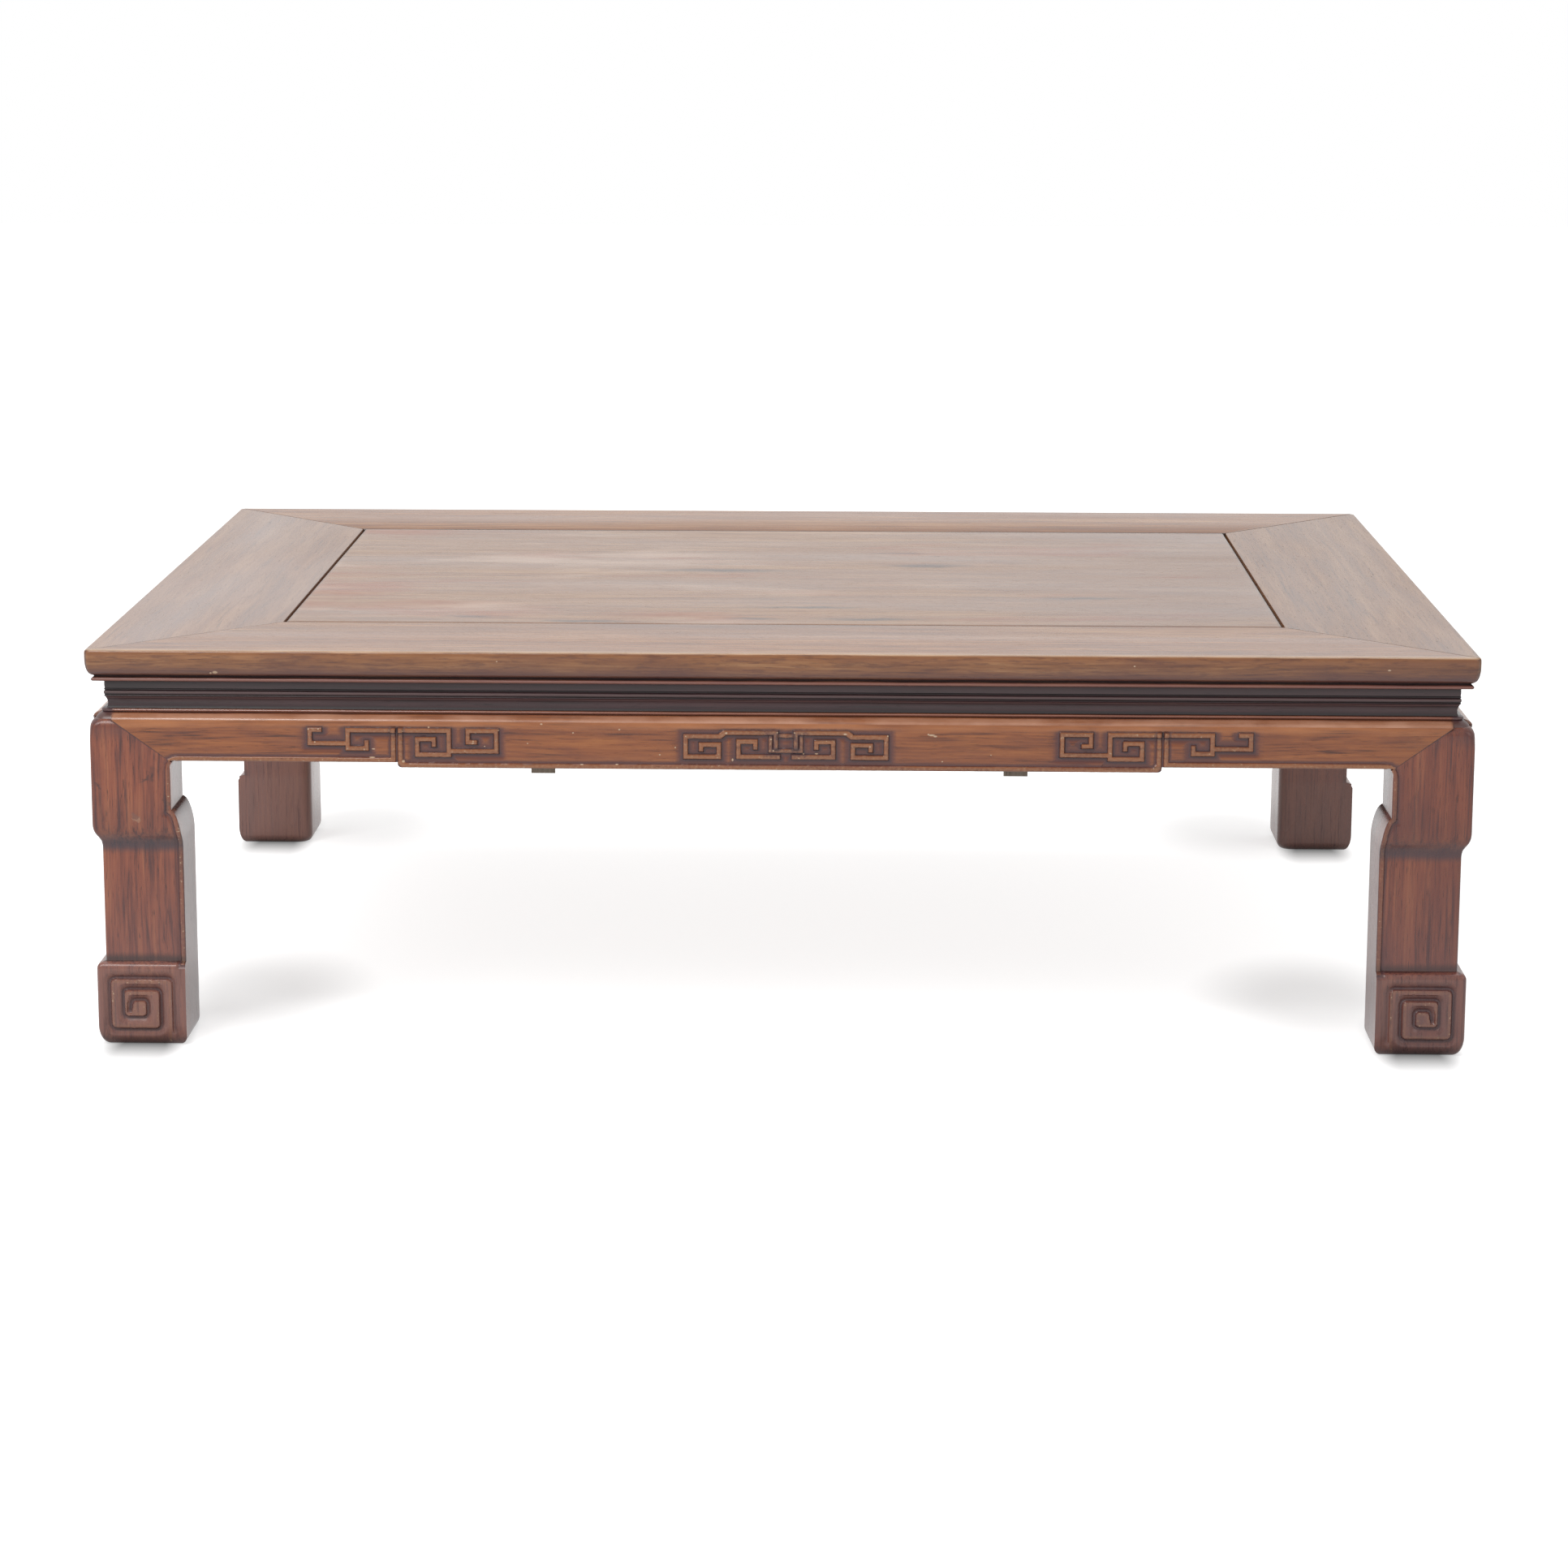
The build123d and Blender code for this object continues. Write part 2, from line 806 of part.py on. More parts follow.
def make_leg_bead(view, other_view):
    """Bead down the inner edge of one outer face, following that face as it steps."""
    with BuildPart() as bead:
        with BuildSketch(view.plane):
            leg_outline(view)
            knee(view)
            inner_edge_band(view)
        extrude(amount=view.inwards * (shaft_outer + relief))
        with BuildSketch(other_view.plane):
            leg_outline(other_view, relief)
        extrude(amount=other_view.inwards * (shaft_inner + knee_radius), mode=Mode.INTERSECT)
    return bead.part


def spiral(view):
    """Square spiral groove on one face of the foot."""
    left = spiral_margin_side
    right = shaft_inner - face_inset - spiral_margin_side
    low = spiral_margin_end
    high = foot_height - spiral_margin_end
    points = [(right - spiral_lead, low - spiral_pitch / 2)]
    for turn in range(spiral_turns):
        step = turn * spiral_pitch
        points.append((right - step, low + step - (spiral_pitch if turn else spiral_pitch / 4)))
        points.append((right - step, high - step))
        points.append((left + step, high - step))
        points.append((left + step, low + step))
    points[-1] = (points[-1][0], points[-2][1] - spiral_pitch / 2)
    line_band([view.at(face_inset + across, up) for across, up in points], spiral_width)


def above_mitre(view):
    """The part of a leg's outer face that the apron's front layer covers."""
    beyond = mitre_foot[0] + knee_radius
    outline(
        view.at(*mitre_head),
        view.at(*mitre_foot),
        view.at(beyond, mitre_foot[1]),
        view.at(beyond, apron_top),
    )


def make_leg(key):
    """Stepped leg: mitred to two aprons, with a post behind the waist up to the frame."""
    name = f"{key}_leg"
    corner = corners[key]
    long_view, short_view = leg_views(corner)
    beads = [make_leg_bead(long_view, short_view), make_leg_bead(short_view, long_view)]
    with BuildPart() as leg:
        with BuildSketch(long_view.plane):
            leg_outline(long_view)
        extrude(amount=long_view.inwards * shaft_inner)
        with BuildSketch(short_view.plane):
            leg_outline(short_view)
        extrude(amount=short_view.inwards * shaft_inner, mode=Mode.INTERSECT)
        with BuildSketch(Plane.XY) as shaft_plan:
            outline(
                at_corner(corner, 0, 0),
                at_corner(corner, shaft_inner, 0),
                at_corner(corner, shaft_inner, shaft_inner),
                at_corner(corner, 0, shaft_inner),
            )
            inner_corner = at_corner(corner, shaft_inner, shaft_inner)
            fillet(shaft_plan.vertices().sort_by_distance(inner_corner)[0], leg_inner_round)
        extrude(amount=table_height, mode=Mode.INTERSECT)
        for view in (long_view, short_view):
            with BuildSketch(view.plane):
                knee(view)
            extrude(amount=view.inwards * skirt_back)
        for bead in beads:
            add(bead)
        for view in (long_view, short_view):
            with BuildSketch(view.plane):
                above_mitre(view)
            extrude(amount=view.inwards * lap_back, mode=Mode.SUBTRACT)
            with BuildSketch(view.plane):
                spiral(view)
            extrude(amount=view.inwards * (face_inset + spiral_depth), mode=Mode.SUBTRACT)
        with BuildSketch(Plane.XY.offset(mitre_foot[1])):
            key_plan(corner, True)
            key_plan(corner, False)
        extrude(amount=apron_top - mitre_foot[1])
        with BuildSketch(Plane.XY.offset(apron_top)):
            outline(
                at_corner(corner, post_inset, post_inset),
                at_corner(corner, post_end, post_inset),
                at_corner(corner, post_end, post_end),
                at_corner(corner, post_inset, post_end),
            )
        extrude(amount=frame_level - apron_top)
        with BuildSketch(Plane.XY.offset(frame_level)):
            leg_tenon_plan(corner, True)
            leg_tenon_plan(corner, False)
        extrude(amount=leg_tenon_height)
    leg.part.label = name
    export_step(leg.part, f"parts/{name}.step")


for key in corners:
    make_leg(key)

# ---- Locking pins ----

for side in sides:
    for number, place in enumerate(side.pin_places, start=1):
        name = f"{side.name}_locking_pin_{number}"
        with BuildPart() as pin:
            with BuildSketch(side.plan.offset(pin_bottom)):
                pin_plan(place)
            extrude(amount=frame_level + pin_tenon_height - pin_bottom)
        pin.part.label = name
        export_step(pin.part, f"parts/{name}.step")
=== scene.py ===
import math

import bmesh
import bpy
import numpy as np
from mathutils import Matrix, Vector, noise


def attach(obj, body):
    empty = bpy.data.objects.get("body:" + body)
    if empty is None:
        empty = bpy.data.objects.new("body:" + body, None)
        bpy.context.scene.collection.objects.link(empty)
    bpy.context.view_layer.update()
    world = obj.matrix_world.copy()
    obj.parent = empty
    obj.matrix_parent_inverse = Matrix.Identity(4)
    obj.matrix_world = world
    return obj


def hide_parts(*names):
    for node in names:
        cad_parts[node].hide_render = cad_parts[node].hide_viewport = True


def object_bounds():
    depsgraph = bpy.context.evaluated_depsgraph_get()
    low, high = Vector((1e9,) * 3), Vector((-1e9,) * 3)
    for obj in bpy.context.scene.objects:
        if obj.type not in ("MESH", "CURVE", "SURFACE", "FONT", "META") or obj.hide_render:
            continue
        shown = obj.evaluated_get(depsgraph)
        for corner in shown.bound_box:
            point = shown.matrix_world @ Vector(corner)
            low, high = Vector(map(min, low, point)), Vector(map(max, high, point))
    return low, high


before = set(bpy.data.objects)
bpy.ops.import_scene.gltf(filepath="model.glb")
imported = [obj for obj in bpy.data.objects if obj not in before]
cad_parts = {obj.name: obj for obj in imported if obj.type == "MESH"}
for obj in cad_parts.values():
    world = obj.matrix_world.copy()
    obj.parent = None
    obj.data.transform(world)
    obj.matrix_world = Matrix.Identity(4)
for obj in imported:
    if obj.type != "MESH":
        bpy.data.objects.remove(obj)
cad_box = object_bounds()

# A kang table: a mitred frame with a floating board, a waist, carved aprons and stepped legs.
# Sizes of its pieces are in millimetres, as a joiner writes them, and become metres in a mesh.
# Carving trees and plain coordinates in materials are in metres; levels, distances from an edge and
# marks are in millimetres there too.
# A side is drawn as if it were the front: along it, in from its outermost line, up from the floor.

MM = 0.001
PER_METRE = 1000.0
HALF_LENGTH, HALF_DEPTH, TABLE_HEIGHT = (round(v * PER_METRE, 2) for v in cad_box[1])

# ---- Levels and insets shared by the pieces ----

FRAME_BOTTOM = 290.0
MOULDING_TOP = 265.0
APRON_TOP = 257.7
SHOULDER = 248.5
APRON_BOTTOM = 226.0
DIP_BOTTOM = 222.0
FACE = 2.6
SHAFT = 9.0
SKIRT_BACK = 26.0
MITRE_GAP = 0.18
MITRE_STAIN_WIDTH = 0.9
MITRE_STAIN = 0.8
COARSE_STEP = 3.5
FINE_STEP = 0.62
BLOCK_INNER = 64.0
SHAFT_INNER = 71.5
RAIL_WIDTH = 134.0
BOARD_GROOVE_DEPTH = 10.0
BOARD_HALF_LENGTH = 396.0
BOARD_HALF_DEPTH = 256.0
MITRE_HEAD_INSET = 19.0
MITRE_FOOT_INSET = 65.46
MITRE_FOOT_LEVEL = 224.54
MITRE_SLOPE = (MITRE_FOOT_INSET - MITRE_HEAD_INSET) / (APRON_TOP - MITRE_FOOT_LEVEL)


# ---- Node trees ----


class Wire:
    """A socket in a node tree. Arithmetic on it adds Math nodes."""

    def __init__(self, graph, socket):
        self.graph = graph
        self.socket = socket

    def math(self, operation, *others):
        return self.graph.add("ShaderNodeMath", {"operation": operation}, dict(enumerate((self, *others))))

    def __add__(self, other):
        return self.math("ADD", other)

    __radd__ = __add__

    def __mul__(self, other):
        return self.math("MULTIPLY", other)

    __rmul__ = __mul__

    def __sub__(self, other):
        return self.math("SUBTRACT", other)

    def __rsub__(self, other):
        return self.graph.add("ShaderNodeMath", {"operation": "SUBTRACT"}, {0: other, 1: self})

    def __truediv__(self, other):
        return self.math("DIVIDE", other)

    def __pow__(self, other):
        return self.math("POWER", other)

    def __abs__(self):
        return self.math("ABSOLUTE")

    def most(self, other):
        return self.math("MAXIMUM", other)

    def least(self, other):
        return self.math("MINIMUM", other)

    def smooth(self, low, high, to_low=0.0, to_high=1.0):
        """Runs smoothly from to_low to to_high while this value runs from low to high."""
        return self.graph.add(
            "ShaderNodeMapRange",
            {"interpolation_type": "SMOOTHSTEP"},
            {0: self, 1: low, 2: high, 3: to_low, 4: to_high},
        )

    def ramp(self, low, high, to_low=0.0, to_high=1.0):
        """The same in a straight line, clamped."""
        return self.graph.add("ShaderNodeMapRange", {}, {0: self, 1: low, 2: high, 3: to_low, 4: to_high})

    def band(self, start, full, fade, end):
        """One between full and fade, and nothing outside start and end."""
        return self.smooth(start, full) * self.smooth(end, fade)


class Graph:
    """A node tree under construction."""

    def __init__(self, tree):
        self.tree = tree

    def feed(self, socket, value):
        if isinstance(value, Wire):
            self.tree.links.new(value.socket, socket)
        elif value is not None:
            socket.default_value = value

    def add(self, kind, settings=None, inputs=None, out=0):
        node = self.tree.nodes.new(kind)
        for key, value in (settings or {}).items():
            if key == "stops":
                set_stops(node.color_ramp, value)
            else:
                setattr(node, key, value)
        for key, value in (inputs or {}).items():
            self.feed(node.inputs[key], value)
        return Wire(self, node.outputs[out])

    def vector(self, operation, *inputs, out=0):
        return self.add("ShaderNodeVectorMath", {"operation": operation}, dict(enumerate(inputs)), out)

    def blend(self, factor, a, b):
        """Mixes two colours."""
        a, b = ((*c, 1.0) if isinstance(c, tuple) else c for c in (a, b))
        return self.add("ShaderNodeMix", {"data_type": "RGBA"}, {0: factor, 6: a, 7: b}, out=2)

    def noise(self, vector, scale=1.0, detail=2.0, rough=0.5, out=0):
        """Noise around one half; out=1 gives three of them as a vector."""
        inputs = {"Vector": vector, "Scale": scale, "Detail": detail, "Roughness": rough}
        return self.add("ShaderNodeTexNoise", {}, inputs, out)

    def sway(self, vector, scale, detail, reach):
        """A vector that swings by reach to both sides of nothing."""
        shift = self.vector("SUBTRACT", self.noise(vector, scale, detail, out=1), (0.5, 0.5, 0.5))
        return self.vector("MULTIPLY", shift, reach)

    def split(self, vector):
        node = self.add("ShaderNodeSeparateXYZ", {}, {0: vector}).socket.node
        return [Wire(self, socket) for socket in node.outputs]

    def mark(self, name):
        """A mask kept on the mesh."""
        return self.add("ShaderNodeAttribute", {"attribute_name": name}, {}, "Fac")

    def seen_directly(self):
        """One for rays from the camera, from gloss and through glass, nothing for the light itself."""
        rays = self.add("ShaderNodeLightPath", {}, {}, "Is Camera Ray").socket.node
        camera, gloss, through = (
            Wire(self, rays.outputs[f"Is {kind} Ray"]) for kind in ("Camera", "Glossy", "Transmission")
        )
        return camera.most(gloss).most(through)


def set_stops(ramp, stops):
    while len(ramp.elements) < len(stops):
        ramp.elements.new(1.0)
    for element, (place, colour) in zip(ramp.elements, stops):
        element.position = place
        element.color = (*colour, 1.0)


# ---- Finishes ----


def hue(red, green, blue):
    """A colour as it looks on a screen, turned into linear light."""
    return tuple(((c / 255 + 0.055) / 1.055) ** 2.4 if c > 10 else c / 3295 for c in (red, green, blue))


SOOT = (26, 20, 24)
DUSK = (62, 42, 48)
PLUM = (86, 44, 42)
CHIP = (196, 168, 140)
GOLD_WEAR_AND_HIGHLIGHT = (158, 112, 80)
SLATE_WAX_AND_SHADE = (56, 50, 58)
CHIP_REACH = 4.0


class Coat:
    """The colour of a piece while stains, painted highlights and painted shade are laid over its wood. Tints
    are screen colours.
    """

    def __init__(self, graph, spot, colour):
        self.graph = graph
        self.spot = spot
        self.colour = colour
        self.side, self.deep, self.height = graph.split(spot)

    def lay(self, amount, tint):
        self.colour = self.graph.blend(amount, self.colour, hue(*tint))

    def level(self, waver=1.6):
        """Height over the floor in millimetres, a little unsteady, for stains and painted light that follow
        a level.
        """
        return (self.height + (self.graph.noise(self.spot, 24.0) - 0.5) * (2 * waver * MM)) * PER_METRE

    def clouds(self, stretch, detail=4.0, rough=0.6, shift=(0.0, 0.0, 0.0)):
        """Noise with its own scale along each axis."""
        place = self.graph.vector("MULTIPLY", self.spot, stretch)
        return self.graph.noise(self.graph.vector("ADD", place, shift), 1.0, detail, rough)

    def ragged(self, scale, reach):
        """Coordinates that waver by reach, for stains with torn edges."""
        return self.graph.vector("ADD", self.spot, self.graph.sway(self.spot, scale, 3.0, reach))

    def spots(self, marks, soft=0.5, spot=None):
        """A mask of small ellipsoids; each mark is its middle and its three radii in millimetres."""
        mask = None
        for middle, radii in marks:
            away = self.graph.vector("SUBTRACT", spot or self.spot, tuple(v * MM for v in middle))
            away = self.graph.vector("DIVIDE", away, tuple(v * MM for v in radii))
            near = self.graph.vector("LENGTH", away, out=1).smooth(1.0, soft)
            mask = near if mask is None else mask.most(near)
        return mask

    def chips(self, face, places):
        """Pale chips in a front face; each has its place along, its level and its two radii."""
        marks = [((along, face, level), (wide, CHIP_REACH, high)) for along, level, wide, high in places]
        self.lay(self.spots(marks), CHIP)


def wood(name, grain, tones, patina_and_light, contrast=1.0, fine=1.0, pores=0.5, gloss=0.26, rings=0.0, seed=0.0):
    """Waxed hardwood with its grain along an axis. patina lays stains, painted highlights and painted shade,
    and returns where they are dull.
    """
    material = bpy.data.materials.new(name)
    material.use_nodes = True
    graph = Graph(material.node_tree)
    shader = material.node_tree.nodes["Principled BSDF"]
    spot = graph.add("ShaderNodeTexCoord", {}, {}, "Object")
    turn = {"x": (0, 0, 0), "y": (0, 0, math.pi / 2), "z": (0, math.pi / 2, 0)}[grain]
    mapping = {"Vector": spot, "Location": (seed, seed * 0.37, seed * 0.71), "Rotation": turn}
    place = graph.add("ShaderNodeMapping", {}, mapping)
    waves = graph.vector("MULTIPLY", place, (3.0, 9.0, 9.0))
    place = graph.vector("ADD", place, graph.sway(waves, 1.0, 2.0, (0.0, 0.014, 0.014)))

    def field(along, across, detail=2.0, rough=0.5):
        return graph.noise(graph.vector("MULTIPLY", place, (along, across, across)), 1.0, detail, rough)

    broad = field(2.4, 15.0)
    band = field(3.2, 62.0, 3.0)
    streak = field(7.0, 190.0, 3.0, 0.6)
    line = field(20.0, 560.0)
    pore = field(90.0, 1500.0, 1.0).smooth(0.62, 0.74)
    tone = (broad - 0.5) * (0.9 * contrast) + (band - 0.5) * (0.8 * contrast)
    tone = tone + (streak - 0.5) * (0.9 * contrast * fine) + (line - 0.5) * (0.6 * fine) + 0.5
    if rings:
        _, across, _ = graph.split(place)
        growth = (broad * 5.0 + across * 26.0 + band * 0.6) * (2 * math.pi)
        tone = tone + growth.math("SINE") * rings
    dark, middle, light = (hue(*c) for c in tones)
    stops = [(0.12, dark), (0.5, middle), (0.88, light)]
    colour = graph.add("ShaderNodeValToRGB", {"stops": stops}, {0: tone})
    vein = line.smooth(0.42, 0.28) * streak.smooth(0.62, 0.4)
    colour = graph.blend(vein * (0.55 * fine), colour, tuple(c * 0.45 for c in dark))
    colour = graph.blend(pore * pores, colour, tuple(c * 0.3 for c in dark))
    coat = Coat(graph, spot, colour)
    dull = patina_and_light(coat)
    graph.feed(shader.inputs["Base Color"], coat.colour)
    polish = broad.ramp(0.3, 0.7, gloss - 0.04, gloss + 0.05)
    graph.feed(shader.inputs["Roughness"], polish + pore * 0.1 + dull * 0.22)
    height = streak * 0.5 + line * 0.3 - pore * 0.4
    relief = {"Strength": 0.22, "Distance": 0.00025, "Height": height}
    graph.feed(shader.inputs["Normal"], graph.add("ShaderNodeBump", {}, relief))
    shader.inputs["IOR"].default_value = 1.5
    return material


def carved_patina_and_light(coat, depth=0.85, ground_amount=0.9, crest_wear_and_highlight=1.0):
    """Reddish sunk ground, dark wax and painted shade in the hollows, and crests worn golden with a painted
    highlight, and chipped.
    """
    hollow, ground, crest = (coat.graph.mark(name) for name in ("hollow", "ground", "crest"))
    worn = coat.graph.noise(coat.spot, 420.0)
    coat.lay(ground * ground_amount, PLUM)
    # Golden crests: wear, and a painted highlight on the tops of the lines and bands.
    coat.lay(crest * worn.ramp(0.35, 0.65, 0.2, 0.75) * crest_wear_and_highlight, GOLD_WEAR_AND_HIGHLIGHT)
    # Dark round the carved lines and in the scroll's grooves: dark wax and painted shade; in the seams:
    # dirt.
    coat.lay(hollow * worn.ramp(0.3, 0.6, 0.75, 1.0) * depth, SLATE_WAX_AND_SHADE)
    coat.lay(crest * worn.smooth(0.66, 0.74) * 0.8, CHIP)
    return hollow


RAIL_CHIP_FACE = -389.0
RAIL_CHIPS = [
    (-429.4, 295.0, 2.6, 1.6),
    (-432.8, 294.4, 1.2, 1.0),
    (268.7, 304.4, 1.0, 0.7),
    (460.3, 302.4, 1.6, 0.8),
    (-214.1, 305.1, 0.9, 0.5),
    (-34.8, 291.8, 2.0, 0.5),
]


def rail_patina_and_light(coat):
    """A pale worn arris and painted highlights on the front edge and its bead, a streaked edge, a dark
    groove, and soot in the seams and the mitres.
    """
    level = coat.level(0.7)
    from_end = (HALF_LENGTH * MM - abs(coat.side)) * PER_METRE
    from_side = (HALF_DEPTH * MM - abs(coat.deep)) * PER_METRE
    from_front = (HALF_DEPTH * MM + coat.deep) * PER_METRE
    cloud = coat.clouds((14.0, 14.0, 40.0))
    on_edge = level.smooth(311.7, 310.8)
    # A pale band along the front arris on the top: wear, and a painted highlight.
    arris = from_front.smooth(12.0, 1.0) * (1 - on_edge)
    coat.lay(arris * cloud.ramp(0.3, 0.7, 0.2, 0.6), (208, 176, 142))
    # A painted highlight along the upper part of the edge.
    painted_edge_highlight = level.band(304.0, 307.5, 310.5, 311.6) * on_edge
    coat.lay(painted_edge_highlight * cloud.ramp(0.35, 0.65, 0.2, 0.55), (164, 108, 66))
    dashes = coat.clouds((60.0, 60.0, 420.0), rough=0.65)
    coat.lay(on_edge * cloud.smooth(0.42, 0.68) * 0.4, (92, 50, 40))
    coat.lay(on_edge * dashes.smooth(0.5, 0.66) * 0.5, (84, 46, 36))
    # Darker and purpler towards the bottom of the edge, and a dark band in the groove.
    coat.lay(level.smooth(302.0, 293.5) * 0.62, (88, 56, 58))
    coat.lay(level.band(289.9, 290.5, 291.6, 293.0) * 0.8, SOOT)
    # A painted highlight on the bead under the groove.
    coat.lay(level.band(287.0, 287.8, 289.2, 290.1) * 0.45, (150, 96, 84))
    coat.chips(RAIL_CHIP_FACE, RAIL_CHIPS)
    seam = abs(coat.deep).band(0.2552, 0.2561, 0.2566, 0.2578) * abs(coat.side).smooth(0.3975, 0.396)
    coat.lay(seam * coat.deep.smooth(-0.02, 0.02, 0.35, 0.85), SOOT)
    off_mitre = abs(from_end - from_side) * 0.5**0.5
    front_left = coat.side.smooth(0.0, -0.01) * coat.deep.smooth(0.0, -0.01)
    inner = from_end.least(from_side).smooth(60.0, 120.0)
    broken = coat.graph.noise(coat.spot, 30.0).ramp(0.35, 0.6, 0.25, 1.0)
    mitre = off_mitre.smooth(0.9, 0.2) * broken * (0.85 - front_left * inner * 0.6 - front_left * 0.15)
    coat.lay(mitre, SOOT)
    return level.smooth(300.0, 296.0) * 0.4


def end_patina_and_light(coat):
    """The end rails; the left one is paler and greyer."""
    pale = coat.clouds((7.0, 3.0, 7.0), 3.0, 0.5).ramp(0.3, 0.7, 0.14, 0.34)
    coat.lay(pale * coat.side.smooth(0.05, -0.05), (178, 160, 156))
    return rail_patina_and_light(coat)


# Each smudge has its middle and its reach, along and across the board.
TOP_SMUDGES = [
    (68, -229, 62, 10),
    (22, -172, 70, 7),
    (-24, -228, 36, 9),
    (-154, -245, 58, 8),
    (-247, -224, 44, 9),
    (119, 52, 52, 16),
    (98, 124, 40, 8),
    (-60, 20, 90, 12),
    (250, -120, 60, 9),
]
SMUDGE_DEPTH = 9


def board_patina_and_light(coat):
    """Torn dark smudges, reddish clouds, pale clouds heavier to the left and a browner right side as painted
    light from the left, and soot along the seams.
    """
    side, deep = coat.side, coat.deep
    marks = [((x, y, TABLE_HEIGHT), (long, wide, SMUDGE_DEPTH)) for x, y, long, wide in TOP_SMUDGES]
    coat.lay(coat.spots(marks, 0.0, coat.ragged(55.0, (0.04, 0.012, 0.0))) * 0.9, (38, 22, 26))
    reddish = coat.clouds((4.0, 12.0, 12.0)).smooth(0.52, 0.72)
    pale = coat.clouds((4.0, 12.0, 12.0), shift=(3.1, 7.7, 1.3)).smooth(0.5, 0.72)
    # A browner right side: painted shade, the light coming from the left.
    coat.lay(side.smooth(0.05, 0.4) * 0.3, (98, 58, 38))
    coat.lay(reddish * 0.5, (150, 78, 54))
    # Pale clouds, heavier to the left as painted light from that side.
    coat.lay(pale * side.smooth(0.3, -0.35, 0.15, 0.6), (196, 168, 148))
    coat.lay(abs(deep).smooth(0.2532, 0.2552) * deep.smooth(-0.02, 0.02, 0.25, 0.9), SOOT)
    coat.lay(abs(side).smooth(0.3905, 0.3935) * 0.5, SOOT)
    return reddish * 0.2


def waist_patina_and_light(coat):
    """Painted highlights and painted shade in lines along the ridges, painted shade under the frame and over
    the moulding, over dark clouds.
    """
    level = coat.level(0.3)
    coat.lay(coat.clouds((9.0, 9.0, 60.0), 3.0, 0.5).smooth(0.45, 0.7) * 0.5, (64, 40, 42))
    # Painted highlights: light lines between and below the ridges, where the surface faces up.
    ridge_highlight = level.band(276.6, 277.2, 277.7, 278.3).most(level.band(272.3, 273.0, 273.5, 274.2))
    coat.lay(ridge_highlight * 0.55, (120, 94, 92))
    # Painted shade: dark lines along the ridges, along the foot of the waist and under the frame's overhang.
    groove = level.band(278.8, 279.4, 280.1, 280.8).most(level.band(274.4, 275.0, 275.6, 276.2))
    groove = groove.most(level.smooth(267.4, 265.6)).most(level.smooth(285.5, 289.5) * 0.5)
    coat.lay(groove * 0.8, (16, 11, 13))
    return level.smooth(290.0, 289.0, 0.3, 0.6)


def moulding_patina_and_light(coat):
    """A cushion and bead with painted highlights, dark lines in the quirk between them and along the top,
    and dark purple at the corners over the legs.
    """
    level = coat.level(0.3)
    corner = abs(coat.side).smooth(0.5080, 0.5120) * abs(coat.deep).smooth(0.3680, 0.3720)
    cloud = coat.clouds((22.0, 22.0, 60.0))
    # A painted highlight on the cushion, which faces up.
    coat.lay(level.smooth(262.1, 261.2) * cloud.ramp(0.35, 0.65, 0.3, 0.85), (194, 144, 118))
    coat.lay(level.smooth(261.5, 262.2) * 0.5, (92, 54, 44))
    coat.lay(level.band(261.8, 262.1, 262.4, 262.8) * 0.6, SOOT)
    # A painted highlight on the top of the bead.
    coat.lay(level.band(262.6, 263.0, 264.2, 264.6) * 0.75, (158, 110, 96))
    coat.lay(level.smooth(264.6, 264.95) * 0.8, SOOT)
    coat.lay(corner * 0.85, DUSK)
    return corner * 0.4


APRON_CHIP_FACE = -387.0
APRON_CHIPS = [
    (-266.9, 253.5, 0.9, 0.9),
    (-309.4, 236.2, 1.7, 0.6),
    (-310.5, 229.7, 2.8, 0.6),
    (-286.6, 226.9, 1.4, 1.2),
    (-358.9, 251.6, 0.9, 0.8),
    (-351.4, 251.7, 0.8, 0.7),
    (-354.1, 241.6, 1.0, 0.6),
    (-316.3, 236.1, 0.7, 1.2),
    (-231.0, 249.3, 0.5, 0.5),
    (-213.6, 251.4, 0.8, 0.7),
    (-232.9, 243.0, 0.7, 0.6),
    (-224.3, 238.7, 0.6, 0.6),
    (-39.8, 250.6, 1.3, 1.2),
    (50.6, 250.3, 1.9, 1.1),
    (-0.9, 251.2, 0.8, 0.7),
    (-5.8, 245.8, 0.9, 0.8),
    (-3.9, 237.0, 0.8, 0.8),
    (12.1, 251.0, 0.8, 0.6),
    (-35.1, 229.5, 0.9, 1.4),
    (83.0, 249.0, 0.9, 0.8),
    (18.9, 234.7, 0.8, 0.7),
    (28.8, 234.7, 1.6, 0.5),
    (69.5, 240.7, 0.7, 1.1),
    (-121.3, 252.6, 1.0, 0.7),
    (-156.6, 249.8, 0.8, 0.7),
    (-180.8, 256.4, 1.2, 0.7),
    (-191.4, 241.4, 0.7, 0.6),
    (-78.7, 239.0, 0.7, 0.8),
    (-90.5, 233.3, 0.9, 0.6),
    (-150.0, 225.3, 1.6, 0.5),
    (-123.3, 225.5, 1.4, 0.5),
    (-70.7, 247.9, 0.7, 0.7),
    (116.3, 249.8, 3.0, 0.9),
    (119.0, 248.9, 1.8, 0.8),
    (113.8, 250.4, 1.0, 0.8),
    (124.5, 229.4, 0.8, 0.6),
    (161.4, 234.7, 0.7, 0.5),
]


